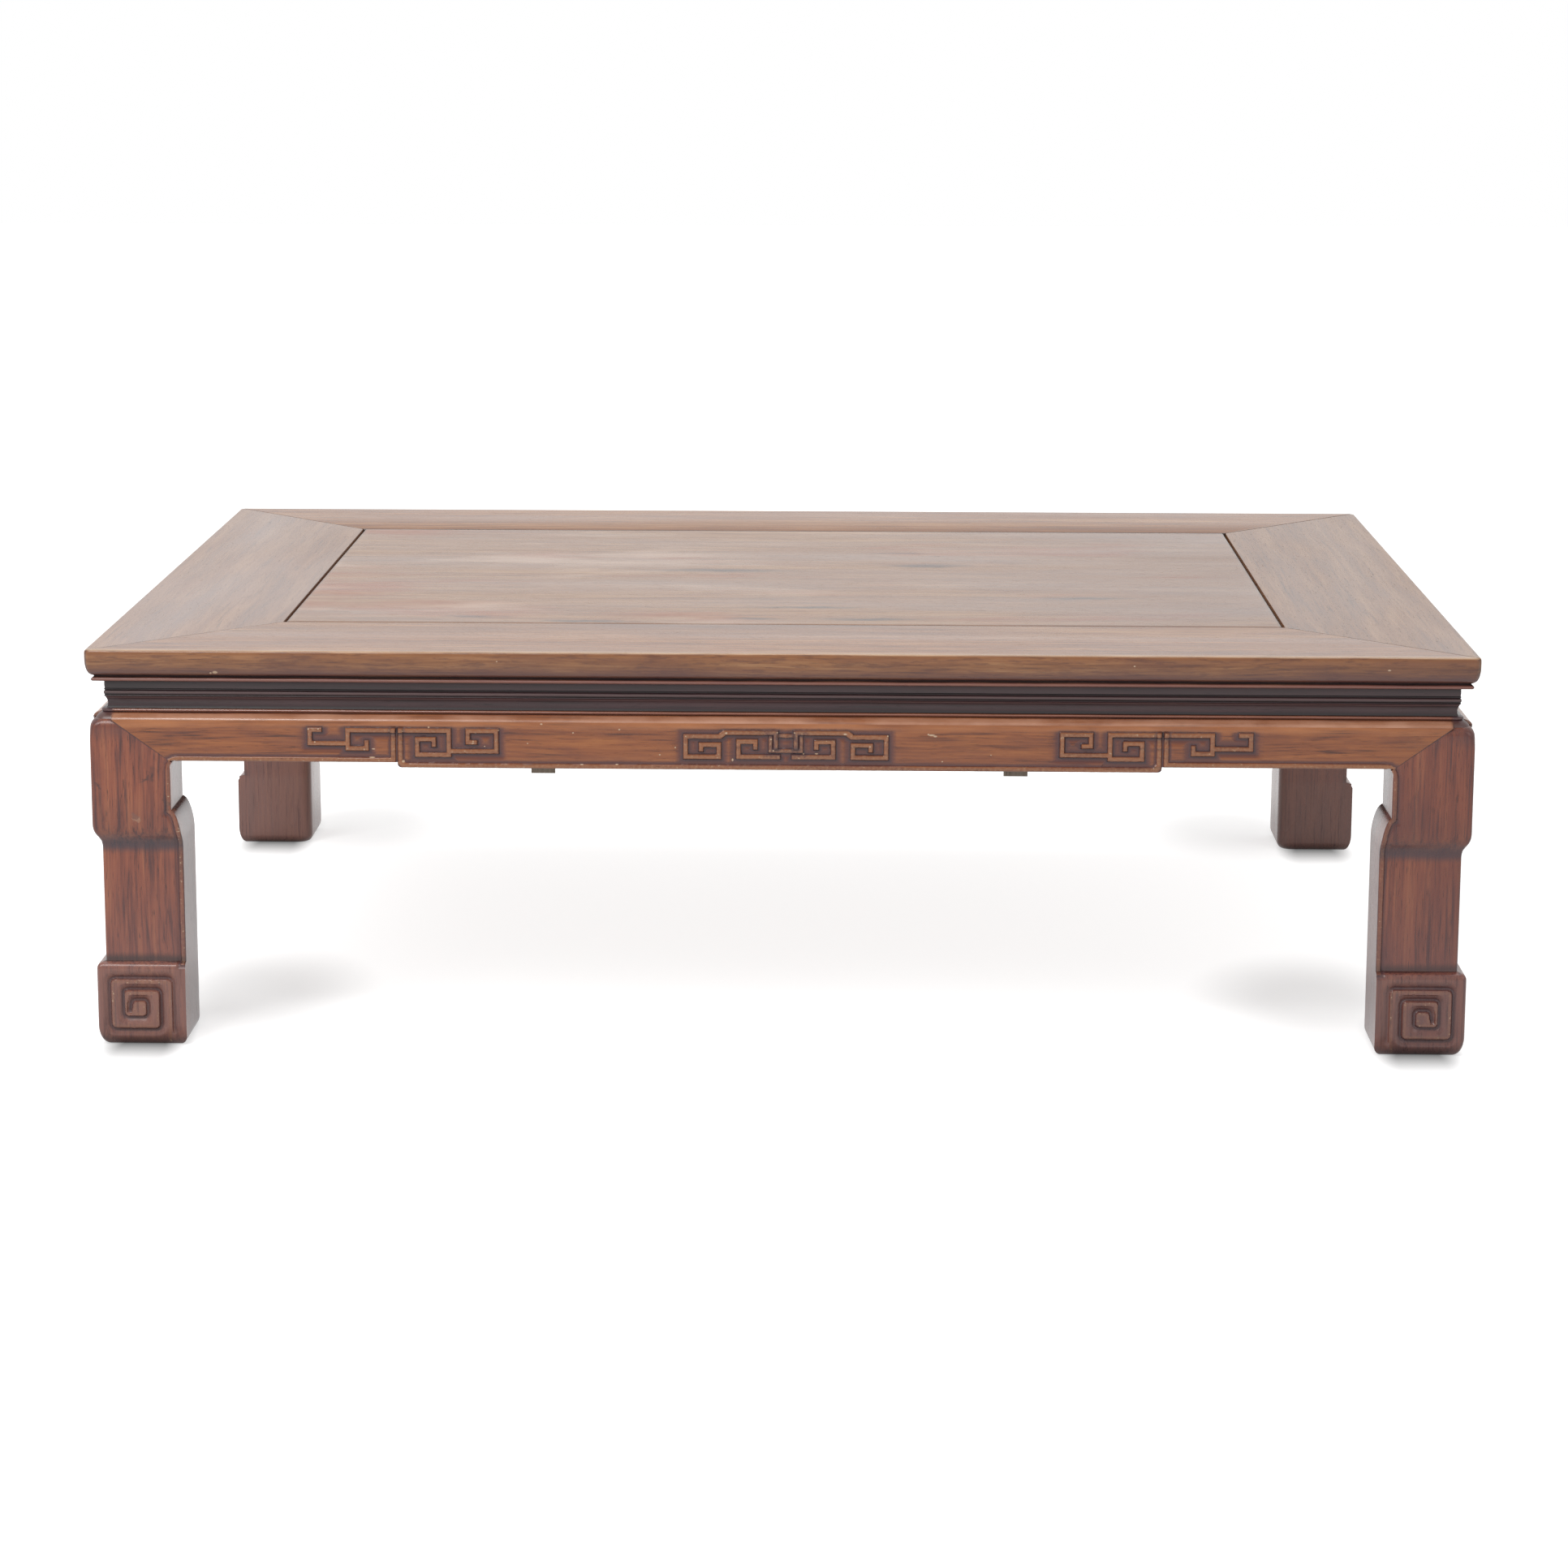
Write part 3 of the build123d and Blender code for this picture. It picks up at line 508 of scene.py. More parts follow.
def apron_patina_and_light(coat):
    """Golden and dusky clouds, a painted highlight on the shoulder, the carving's stains and painted light,
    and chips.
    """
    level = coat.level()
    dusky = coat.clouds((24.0, 24.0, 110.0))
    golden = coat.clouds((13.0, 13.0, 60.0))
    coat.lay(golden.smooth(0.5, 0.72) * 0.4, (172, 108, 58))
    coat.lay(dusky.smooth(0.48, 0.68) * 0.32, (100, 52, 40))
    # A painted highlight on the shoulder, where it turns up to the moulding.
    coat.lay(level.band(250.5, 255.5, 262.0, 266.0) * golden.ramp(0.35, 0.65, 0.2, 0.65), (186, 122, 80))
    # Darker towards the lower edge.
    coat.lay(level.smooth(240.0, 227.0) * 0.16, (104, 60, 54))
    hollow = carved_patina_and_light(coat)
    coat.chips(APRON_CHIP_FACE, APRON_CHIPS)
    return hollow


# Each mark is its middle and its three radii.
DENT_RIM = ((-493.5, -387.4, 180.9), (3.2, 5, 4.4))
DENT_FLOOR = ((-493.8, -387.4, 182.1), (2.6, 5, 3.6))
LEG_BLOTCHES = [
    ((-480.1, -387.4, 214.1), (3.2, 5, 7.0)),
    ((-486.1, -387.4, 211.1), (6.0, 5, 2.6)),
    ((-522.2, -387.4, 206.1), (5.0, 5, 2.0)),
    ((-469.4, -387.4, 192.5), (2.0, 5, 8.0)),
]


def leg_patina_and_light(coat):
    """Painted shade at the step, dark over the foot's ledge, greyer feet, paler back legs, dark streaks,
    blotches and a dent.
    """
    level = coat.level()
    side, deep = coat.side, coat.deep
    outside = abs(side).smooth(0.5175, 0.5190).most(abs(deep).smooth(0.3775, 0.3790))
    cloud = coat.clouds((30.0, 30.0, 10.0))
    coat.lay(cloud.smooth(0.46, 0.7) * 0.5, (88, 46, 44))
    coat.lay(level.band(238.0, 252.0, 262.0, 266.0) * cloud.ramp(0.35, 0.65, 0.2, 0.8), DUSK)
    # Painted shade in the step's hollow, which faces down.
    coat.lay(level.band(150.5, 158.0, 159.5, 172.0) * outside * 0.8, (44, 42, 54))
    coat.lay(level.band(163.0, 171.0, 178.0, 205.0) * outside * 0.25, (78, 46, 44))
    coat.lay(level.smooth(170.0, 20.0) * 0.4, (112, 84, 86))
    # A dark band over the foot's ledge.
    coat.lay(level.band(65.8, 66.4, 68.0, 74.0) * outside * 0.75, SOOT)
    coat.lay(level.smooth(69.0, 62.0) * 0.2, (150, 122, 112))
    coat.lay(level.smooth(12.0, 2.0) * 0.4, (62, 48, 52))
    coat.lay(deep.smooth(0.0, 0.1) * 0.42, (158, 116, 104))
    # Painted shade on the front right leg, away from the light.
    coat.lay(side.smooth(0.0, 0.1) * deep.smooth(0.1, 0.0) * 0.22, (84, 32, 26))
    # A painted reflection on the inner faces of the front legs: darker and bluer.
    coat.lay((1 - outside) * deep.smooth(0.0, -0.1) * 0.4, (70, 52, 62))
    streak = coat.clouds((380.0, 380.0, 17.0), rough=0.65)
    patch = coat.clouds((40.0, 40.0, 22.0), 2.0, 0.5)
    coat.lay(streak.smooth(0.5, 0.68) * patch.ramp(0.35, 0.65, 0.2, 0.8), (62, 32, 36))
    ragged = coat.ragged(160.0, (0.010, 0.0, 0.016))
    coat.lay(coat.spots(LEG_BLOTCHES, 0.0, ragged) * 0.75, (40, 24, 30))
    coat.lay(coat.spots([DENT_RIM], 0.5, ragged) * 0.3, CHIP)
    coat.lay(coat.spots([DENT_FLOOR], 0.5, ragged) * 0.8, (112, 66, 54))
    return carved_patina_and_light(coat, 0.75, 0.35, 0.45)


def inner_patina(coat):
    """Unwaxed wood, dull all over."""
    cloud = coat.graph.noise(coat.spot, 14.0, 3.0)
    coat.lay(cloud.smooth(0.5, 0.75) * 0.5, (58, 42, 34))
    return cloud.smooth(0.3, 0.7, 0.6, 1.0)


RAIL_TONES = ((106, 62, 38), (138, 90, 54), (170, 124, 84))
END_TONES = ((102, 64, 42), (126, 84, 52), (150, 110, 76))
BOARD_TONES = ((106, 68, 44), (134, 92, 60), (164, 126, 90))
WAIST_TONES = ((30, 14, 17), (50, 26, 30), (70, 42, 44))
SKIRT_TONES = ((96, 46, 28), (142, 80, 42), (166, 102, 56))
LEG_TONES = ((92, 44, 36), (138, 74, 52), (160, 96, 66))
INNER_TONES = ((84, 54, 38), (112, 78, 56), (134, 98, 72))
PIN_TONES = ((104, 92, 78), (136, 124, 110), (160, 150, 138))

SHINE = 0.24
FINISHES = {
    "rail_long": wood("frame_wood_long", "x", RAIL_TONES, rail_patina_and_light, 0.8, 1.4, 0.5, SHINE, 0.03),
    "rail_short": wood("frame_wood_end", "y", END_TONES, end_patina_and_light, 0.8, 1.1, 0.5, SHINE, 0.08, 1.7),
    "board": wood("board_wood", "x", BOARD_TONES, board_patina_and_light, 0.75, 1.2, 0.5, SHINE, 0.04, 2.9),
    "leg": wood("leg_wood", "z", LEG_TONES, leg_patina_and_light, 0.95, 1.6, pores=0.8, seed=6.1),
    "batten": wood("batten_wood", "y", INNER_TONES, inner_patina, gloss=0.5, seed=7.7),
    "pin": wood("pin_wood", "z", PIN_TONES, inner_patina, gloss=0.45, seed=8.3),
}
SKIRT_SEED = 4.4
for length, grain in (("long", "x"), ("short", "y")):
    FINISHES["waist_" + length] = wood("waist_wood_" + length, grain, WAIST_TONES, waist_patina_and_light)
    FINISHES["moulding_" + length] = wood(
        "moulding_wood_" + length, grain, SKIRT_TONES, moulding_patina_and_light, 0.6, 1.4, seed=SKIRT_SEED
    )
    FINISHES["apron_" + length] = wood(
        "apron_wood_" + length, grain, SKIRT_TONES, apron_patina_and_light, 0.5, 1.6, seed=SKIRT_SEED
    )


# ---- Meshes ----


def loft(name, rings, finish):
    """A closed mesh through rings of points, an array (ring, point, 3) in millimetres."""
    rings = np.asarray(rings, float)
    count, around, _ = rings.shape
    starts = np.arange(count - 1)[:, None] * around
    here = np.arange(around)[None, :]
    after = (here + 1) % around
    quads = np.stack([starts + here, starts + after, starts + around + after, starts + around + here], -1)
    faces = quads.reshape(-1, 4).tolist()
    faces.append(list(range(around))[::-1])
    faces.append(list(range((count - 1) * around, count * around)))
    mesh = bpy.data.meshes.new(name)
    mesh.from_pydata((rings.reshape(-1, 3) * MM).tolist(), [], faces)
    mesh.materials.append(FINISHES[finish])
    return make_object(name, mesh)


def make_object(name, mesh):
    obj = bpy.data.objects.new(name, mesh)
    bpy.context.scene.collection.objects.link(obj)
    return obj


def tidy(obj, weld=0.002, crease=32.0):
    """Welds doubles, turns faces outwards and shades smooth up to the crease angle."""
    mesh = obj.data
    work = bmesh.new()
    work.from_mesh(mesh)
    bmesh.ops.remove_doubles(work, verts=work.verts, dist=weld * MM)
    bmesh.ops.dissolve_degenerate(work, dist=weld * MM, edges=work.edges)
    if work.calc_volume(signed=True) < 0:
        bmesh.ops.reverse_faces(work, faces=work.faces)
    work.to_mesh(mesh)
    work.free()
    mesh.polygons.foreach_set("use_smooth", [True] * len(mesh.polygons))
    mesh.set_sharp_from_angle(angle=math.radians(crease))
    mesh.update()
    return obj


def turned(points, quarter):
    """Points turned about the middle of the table by quarter turns."""
    x, y, z = points[..., 0], points[..., 1], points[..., 2]
    for _ in range(quarter):
        x, y = -y, x
    return np.stack([x, y, z], -1)


class Side:
    """One side of the table, drawn as the front and turned into place."""

    def __init__(self, name, quarter, half_span, reach):
        self.name = name
        self.quarter = quarter
        self.half_span = half_span
        self.reach = reach
        self.length = "long" if half_span > reach else "short"

    def place(self, along, inset, level):
        """World points, in millimetres, for arrays of along, inset and level."""
        along, inset, level = np.broadcast_arrays(along, inset, level)
        return turned(np.stack([along, inset - self.reach, level], -1), self.quarter)

    def outward(self):
        return turned(np.array([0.0, -1.0, 0.0]), self.quarter)


SIDES = [
    Side("front", 0, HALF_LENGTH, HALF_DEPTH),
    Side("right", 1, HALF_DEPTH, HALF_LENGTH),
    Side("back", 2, HALF_LENGTH, HALF_DEPTH),
    Side("left", 3, HALF_DEPTH, HALF_LENGTH),
]

CORNERS = {"front_left": 0, "front_right": 1, "back_right": 2, "back_left": 3}


def spaced(start, end, step):
    """Even steps from start to end, none longer than step, both ends included."""
    count = max(1, math.ceil(abs(end - start) / step - 1e-9))
    return np.linspace(start, end, count + 1)


def bowed(start, end, bulge, count):
    """Points from start to end that bow out to the left of the way by bulge."""
    start, end = np.array(start, float), np.array(end, float)
    way = end - start
    side = np.array([-way[1], way[0]]) / np.hypot(*way)
    t = np.linspace(0, 1, count + 1)[:, None]
    return start + way * t + side * bulge * 4 * t * (1 - t)


def flow(points, step):
    """A smooth curve through points, resampled about every step."""
    points = np.asarray(points, float)
    padded = np.vstack([2 * points[0] - points[1], points, 2 * points[-1] - points[-2]])
    out = []
    for k in range(1, len(padded) - 2):
        a, b, c, d = padded[k - 1 : k + 3]
        count = max(1, round(np.hypot(*(c - b)) / step))
        slope, bend, twist = c - a, 2 * a - 5 * b + 4 * c - d, 3 * b - a - 3 * c + d
        out += [0.5 * (2 * b + slope * t + bend * t**2 + twist * t**3) for t in np.arange(count) / count]
    out.append(points[-1])
    return np.array(out)


def wobble(points, scale, seed):
    """Smooth noise from -1 to 1 at millimetre points."""
    offset = Vector((seed * 17.3, seed * 5.9, seed * 11.1))
    values = [noise.noise(Vector(p) * scale + offset) for p in points.reshape(-1, 3)]
    return np.array(values).reshape(points.shape[:-1])


NOSE_REACH = 19.6
NOSE_FADE = 0.35
WEAR_REACH = 14.0
WEAR_FADE = 8.0


def strip(name, side, section, finish, corner_round, step, gap=(0.0, 0.0), wear=0.0, seed=1, middle=None):
    """A strip of one side: its section swept along and round the corners to its two mitres.

    gap is how far the mitres stand open at the outer and at the inner edge. middle is the section
    between the legs, where it differs from the one over them."""
    section = np.asarray(section, float)
    span = side.half_span
    depth, level = section[:, 0], section[:, 1]
    radius = np.maximum(corner_round - depth, 0.25)
    turns = np.linspace(math.radians(45), math.radians(90), 8)
    bend = [(depth + radius * (1 - math.cos(t)), depth + radius * (1 - math.sin(t))) for t in turns]
    shares = list(spaced(-1.0, 1.0, step / span)[1:-1])
    if middle is not None:
        joins = [(span - NOSE_REACH + e) / (span - corner_round) for e in (-NOSE_FADE, NOSE_FADE)]
        shares = sorted(shares + joins + [-share for share in joins])
    along = [-span + a for a, _ in bend]
    along += [(span - depth - radius) * share for share in shares]
    along += [span - a for a, _ in bend[::-1]]
    along = np.array(along)
    inset = np.array([d for _, d in bend] + [depth] * len(shares) + [d for _, d in bend[::-1]])
    if middle is not None:
        inset = np.where(np.abs(along) < span - NOSE_REACH, middle[:, 0], inset)
    cut = (gap[0] + (gap[1] - gap[0]) * depth / RAIL_WIDTH) / 2**0.5
    along = np.clip(along, along[0] + cut, along[-1] - cut)
    points = side.place(along, inset, level)
    if wear:
        shift = wobble(points, 0.035, seed) * 0.7 + wobble(points, 0.11, seed + 3) * 0.3
        inset = inset + np.abs(shift) * np.clip((WEAR_REACH - depth) / WEAR_FADE, 0, 1) * wear
        points = side.place(along, inset, level)
    return tidy(loft(name, points, finish))


# ---- Top frame ----


def rail_section():
    """A crisp worn arris over a slow curve, then a groove and a small bead; a groove for the board."""
    arris = [(9.0, TABLE_HEIGHT), (3.0, TABLE_HEIGHT), (1.3, 311.7), (0.5, 311.0), (0.1, 309.8)]
    belly = [(0.0, 308.0), (0.0, 303.5), (0.3, 300.5), (0.9, 297.6)]
    belly += [(1.9, 295.2), (3.2, 293.4), (4.8, 292.3)]
    quirk = [(5.6, 292.0), (6.5, 291.6), (6.9, 291.1), (6.7, 290.6)]
    bead = [(6.3, 290.3), (5.4, 289.8), (4.8, 289.1), (4.7, 288.4)]
    bead += [(5.1, 287.7), (5.9, 287.2), (7.0, 287.1)]
    lip_back = [(8.4, 287.4), (9.6, 288.4), (10.4, FRAME_BOTTOM), (40.0, FRAME_BOTTOM)]
    inner_foot = [(RAIL_WIDTH - 1.4, FRAME_BOTTOM), (RAIL_WIDTH, FRAME_BOTTOM + 1.2)]
    groove_back = RAIL_WIDTH - BOARD_GROOVE_DEPTH
    board_groove = [(RAIL_WIDTH, 301.8), (groove_back, 301.8), (groove_back, 307.2), (RAIL_WIDTH, 307.2)]
    inner_head = [(RAIL_WIDTH, 311.1), (RAIL_WIDTH - 0.3, 311.7), (RAIL_WIDTH - 1.0, TABLE_HEIGHT)]
    top = [(60.0, TABLE_HEIGHT), (16.0, TABLE_HEIGHT)]
    front = [*flow(arris + belly, 0.6), *quirk, *flow(bead, 0.4)]
    section = np.array([*front, *lip_back, *inner_foot, *board_groove, *inner_head, *top])
    return np.column_stack([np.maximum(section[:, 0], 0.0), np.minimum(section[:, 1], TABLE_HEIGHT)])


RAIL_CORNER_ROUND = 5.5
RAIL_STEP = 6.0
STRIP_WEAR = 0.12
RAILS = {
    "front": ("front_rail", (0.3, 0.6)),
    "right": ("right_end_rail", (1.3, 1.0)),
    "back": ("back_rail", (1.3, 1.1)),
    "left": ("left_end_rail", (0.3, 0.5)),
}

pieces = {}
for number, side in enumerate(SIDES):
    node, gap = RAILS[side.name]
    look = "rail_" + side.length
    pieces[node] = strip(
        node + "_wood", side, rail_section(), look, RAIL_CORNER_ROUND, RAIL_STEP, gap, STRIP_WEAR, number
    )

# ---- Waist and cushion moulding ----


def waist_section():
    """A hollow band, two ridges with a hollow between them, and a cove down to the moulding."""
    upper = bowed((14.3, FRAME_BOTTOM), (13.3, 280.4), -0.7, 8)
    ridge_top = flow([(13.3, 280.4), (12.8, 279.5), (13.5, 278.8)], 0.25)
    hollow = bowed((13.5, 278.8), (13.3, 275.2), -0.9, 6)
    ridge_low = flow([(13.3, 275.2), (12.8, 274.5), (13.8, 273.7)], 0.25)
    cove = flow([(13.8, 273.7), (14.9, 271.4), (15.4, 268.8), (15.2, 266.6), (14.6, MOULDING_TOP)], 0.7)
    back = [(SKIRT_BACK, MOULDING_TOP), (SKIRT_BACK, FRAME_BOTTOM)]
    return np.vstack([upper, ridge_top[1:], hollow[1:], ridge_low[1:], cove[1:], back])


MOULDING_LEVELS = [APRON_TOP, 258.4, 259.2, 260.2, 261.1, 261.9, 262.3]
MOULDING_LEVELS += [262.6, 263.2, 263.9, 264.5, 264.9, MOULDING_TOP]
MOULDING_OVER_LEGS = [5.9, 6.3, 6.9, 7.9, 9.2, 10.4, 11.1, 10.9, 10.4, 10.4, 10.7, 11.4, 12.4]
MOULDING_MIDDLE = [3.05, 3.35, 3.95, 5.2, 7.0, 9.8, 11.4, 11.2, 10.7, 10.5, 10.8, 11.4, 12.4]


def moulding_section(insets):
    """A small bead over a cushion; between the legs the cushion carries on the shoulder of the apron."""
    front = list(zip(insets, MOULDING_LEVELS))[::-1]
    return np.array(front + [(SKIRT_BACK, APRON_TOP), (SKIRT_BACK, MOULDING_TOP)])


WAIST_CORNER_ROUND = 14.5
MOULDING_CORNER_ROUND = 16.0
SKIRT_STEP = 8.0

for number, side in enumerate(SIDES):
    node = side.name + "_waist"
    look = "waist_" + side.length
    band = waist_section()
    pieces[node] = strip(
        node + "_wood", side, band, look, WAIST_CORNER_ROUND, SKIRT_STEP, wear=STRIP_WEAR, seed=10 + number
    )
    node = side.name + "_moulding"
    look = "moulding_" + side.length
    over_legs, between = (moulding_section(insets) for insets in (MOULDING_OVER_LEGS, MOULDING_MIDDLE))
    pieces[node] = strip(
        node + "_wood", side, over_legs, look, MOULDING_CORNER_ROUND, SKIRT_STEP, middle=between
    )

# ---- Paths of the carved lines ----


def path_object(name, lines):
    """Paths on a flat sheet (along, 0, level), for the carving trees to follow."""
    points, edges = [], []
    for line in lines:
        first = len(points)
        points += [(along * MM, 0.0, level * MM) for along, level in line]
        edges += [(first + i, first + i + 1) for i in range(len(line) - 1)]
    mesh = bpy.data.meshes.new(name)
    mesh.from_pydata(points, edges, [])
    return make_object(name, mesh)


def mirrored(line, middle=0.0):
    return [(2 * middle - along, level) for along, level in line]


def rounded_path(corners, radii):
    """A path with its corners rounded, one radius for each inner corner."""
    corners = np.array(corners, float)
    out = [corners[0]]
    for before, here, after, radius in zip(corners, corners[1:], corners[2:], radii):
        into = (here - before) / np.hypot(*(here - before))
        away = (after - here) / np.hypot(*(after - here))
        start, end = here - into * radius, here + away * radius
        for t in np.linspace(0, 1, 7):
            out.append((1 - t) ** 2 * start + 2 * t * (1 - t) * here + t**2 * end)
    out.append(corners[-1])
    return [tuple(p) for p in out]


def apron_beads(span, dip_half):
    """The bead along the lower edge; it turns up into the scrolls at both ends of the dip."""
    outer = [
        (dip_half + 3.2, 250.8),
        (dip_half + 3.2, APRON_BOTTOM + 1.8),
        (span - 70.5, APRON_BOTTOM + 1.8),
        (span - 67.5, APRON_BOTTOM + 1.4),
        (span - 64.6, APRON_BOTTOM - 0.4),
        (span - 62.6, APRON_BOTTOM - 2.4),
    ]
    middle = [(-dip_half + 2.2, 250.8), (-dip_half + 2.2, 226.6), (-dip_half + 5.0, DIP_BOTTOM + 1.8)]
    middle += mirrored(middle)[::-1]
    return [outer, mirrored(outer), middle]


def fret_lines(dip_half, middle):
    """The key fret: two side motifs and a middle one with its knot."""
    d = dip_half
    hook = [(d - 15.2, 244.2), (d - 28, 244.2), (d - 28, 240.0)]
    short_hook = [(d - 54, 242), (d - 59.5, 242)]
    side_motif = [
        [(d + 3.2, 250.8), (d + 38, 250.8), (d + 38, 236.7), (d + 23.5, 236.7), (d + 23.5, 241.3)],
        [(d + 38, 240.5), (d + 67, 240.5), (d + 67, 251.0), (d + 59.5, 251.0)],
        [(d - 2.2, 250.8), (d - 39.4, 250.8), (d - 39.4, 232.2), (d - 15.2, 232.2), *hook],
        [(d - 39.4, 235), (d - 75.7, 235), (d - 75.7, 250.8), (d - 54, 250.8), *short_hook],
    ]
    shoulder = [(7.6, 240.0), (7.6, 250.8), (46.5, 250.8), (50.5, 247.8), (76.3, 247.8)]
    outer_hook = [(76.3, 232.0), (51.0, 232.0), (51.0, 241.4), (64.5, 241.4), (64.5, 237.9)]
    inner_hook = [(23.2, 239.5), (23.2, 244.0), (36.0, 244.0), (36.0, 232.2), (6.0, 232.2)]
    half_motif = [shoulder + outer_hook, inner_hook]
    knot = [
        [(-11.6, 247.0), (-11.6, 236.8), (11.6, 236.8), (11.6, 247.0)],
        [(-4.6, 248.6), (4.6, 248.6)],
    ]
    lines = []
    for line in side_motif:
        lines += [line, mirrored(line)]
    for line in half_motif:
        moved = [(middle + along, level) for along, level in line]
        lines += [moved, mirrored(moved, middle)]
    knots = [[(middle + along, level) for along, level in line] for line in knot]
    return lines, knots


HEEL_HEIGHT = 8.0
HEEL_WIDTH = 7.0
STEP_BOTTOM = 162.0
STEP_HEIGHT = 25.0


def inner_edge(level):
    """Inset of a leg's inner faces at a level: foot, shaft, step, block."""
    level = np.asarray(level, float)
    heel = HEEL_WIDTH * (1 - np.sqrt(np.clip(1 - ((HEEL_HEIGHT - level) / HEEL_HEIGHT) ** 2, 0, 1)))
    t = np.clip((level - STEP_BOTTOM) / STEP_HEIGHT, 0, 1)
    step = (SHAFT_INNER - BLOCK_INNER) * (1 - np.sqrt(np.clip(1 - t**1.9, 0, 1))) ** 0.85
    return np.where(level < HEEL_HEIGHT, SHAFT_INNER - heel, SHAFT_INNER - step)


BEAD_MIDDLE = 1.9  # from the edge that the bead follows to the middle of the bead
LEG_BEAD_LEVELS = np.concatenate([[66.0, 120.0, 160.0], spaced(163.0, 187.0, 1.5), [188.0, 205.0, 219.0]])
LEG_BEAD = [(float(inner_edge(z)) - BEAD_MIDDLE, float(z)) for z in LEG_BEAD_LEVELS]
LEG_BEAD += [(BLOCK_INNER - 1.3, 222.0), (BLOCK_INNER + 0.4, 225.4), (BLOCK_INNER + 3.0, 227.3)]

SCROLL_TURNS = [
    [(61.0, 4.0), (62.1, 12.0), (62.1, 53.9), (12.3, 53.9), (12.3, 12.8)],
    [(52.0, 12.8), (52.0, 45.0), (22.8, 45.0), (22.8, 22.6)],
    [(41.6, 22.6), (41.6, 36.5), (29.6, 36.5), (28.4, 28.5)],
]
SCROLL_ROUNDINGS = [1.0, 6.0, 5.5, 5.5, 5.0, 5.0, 4.5, 4.0, 4.0, 4.0, 3.5]
SCROLL = rounded_path(sum(SCROLL_TURNS, []), SCROLL_ROUNDINGS)


# ---- Carving trees ----


def new_carving_tree(name, sizes):
    """A geometry tree with the outline to follow, the finish and named sizes as inputs."""
    tree = bpy.data.node_groups.new(name, "GeometryNodeTree")
    tree.interface.new_socket("Geometry", in_out="INPUT", socket_type="NodeSocketGeometry")
    tree.interface.new_socket("Lines", in_out="INPUT", socket_type="NodeSocketObject")
    tree.interface.new_socket("Finish", in_out="INPUT", socket_type="NodeSocketMaterial")
    for label, value in sizes.items():
        socket = tree.interface.new_socket(label, in_out="INPUT", socket_type="NodeSocketFloat")
        socket.default_value = value
    tree.interface.new_socket("Geometry", in_out="OUTPUT", socket_type="NodeSocketGeometry")
    graph = Graph(tree)
    group_in = tree.nodes.new("NodeGroupInput")
    inputs = {socket.name: Wire(graph, socket) for socket in group_in.outputs if socket.name}
    return graph, inputs


def named(graph, name, kind="FLOAT"):
    return graph.add("GeometryNodeInputNamedAttribute", {"data_type": kind}, {"Name": name})


def nearest_line(graph, inputs, ripple):
    """Where each point of the sheet lies from the nearest carved line."""
    target = graph.add(
        "GeometryNodeObjectInfo", {"transform_space": "ORIGINAL"}, {"Object": inputs["Lines"]}, "Geometry"
    )
    sheet = named(graph, "sheet", "FLOAT_VECTOR")
    sheet = graph.vector("ADD", sheet, graph.sway(sheet, 260.0, 2.0, (ripple, 0.0, ripple)))
    search = {0: target, "Sample Position": sheet}
    near = graph.add("GeometryNodeProximity", {"target_element": "EDGES"}, search, "Position")
    return near, graph.vector("SUBTRACT", sheet, near)


def raise_surface(graph, inputs, height, **masks):
    """Moves the carved points out by height and keeps the masks for the finish."""
    outward = named(graph, "outward", "FLOAT_VECTOR")
    carved = graph.vector("LENGTH", outward, out=1)
    geometry = inputs["Geometry"]
    for name, value in masks.items():
        geometry = graph.add(
            "GeometryNodeStoreNamedAttribute",
            {"data_type": "FLOAT", "domain": "POINT"},
            {"Geometry": geometry, "Name": name, "Value": named(graph, name).most(value * carved)},
        )
    offset = graph.add("ShaderNodeVectorMath", {"operation": "SCALE"}, {0: outward, "Scale": height})
    geometry = graph.add("GeometryNodeSetPosition", {}, {"Geometry": geometry, "Offset": offset})
    geometry = graph.add("GeometryNodeRealizeInstances", {}, {"Geometry": geometry})
    covered = {"Geometry": geometry, "Material": inputs["Finish"]}
    end = graph.tree.nodes.new("NodeGroupOutput")
    graph.feed(end.inputs[0], graph.add("GeometryNodeSetMaterial", {}, covered))


# How the lines of each kind are carved.
FRET = {
    "Half Width": 0.0019,
    "Height": 0.0012,
    "Sink": 0.0009,
    "Sink Reach": 0.0070,
    "Crown": 0.3,
    "Stain": 1.0,
}
KNOT = FRET | {"Half Width": 0.0017, "Height": 0.0010, "Sink": 0.0003, "Sink Reach": 0.0060}
EDGE_BEAD = FRET | {"Height": 0.0008, "Sink": 0.0006, "Sink Reach": 0.0030, "Crown": 0.65, "Stain": 0.5}
LEG_EDGE_BEAD = EDGE_BEAD | {"Sink": 0.0007, "Sink Reach": 0.0034, "Stain": 0.8}
SCROLL_CUT = {
    "Middle Along": 0.0345,
    "Middle Level": 0.030,
    "Depth": 0.0024,
    "Slope": 0.0056,
    "Wall": 0.0011,
}


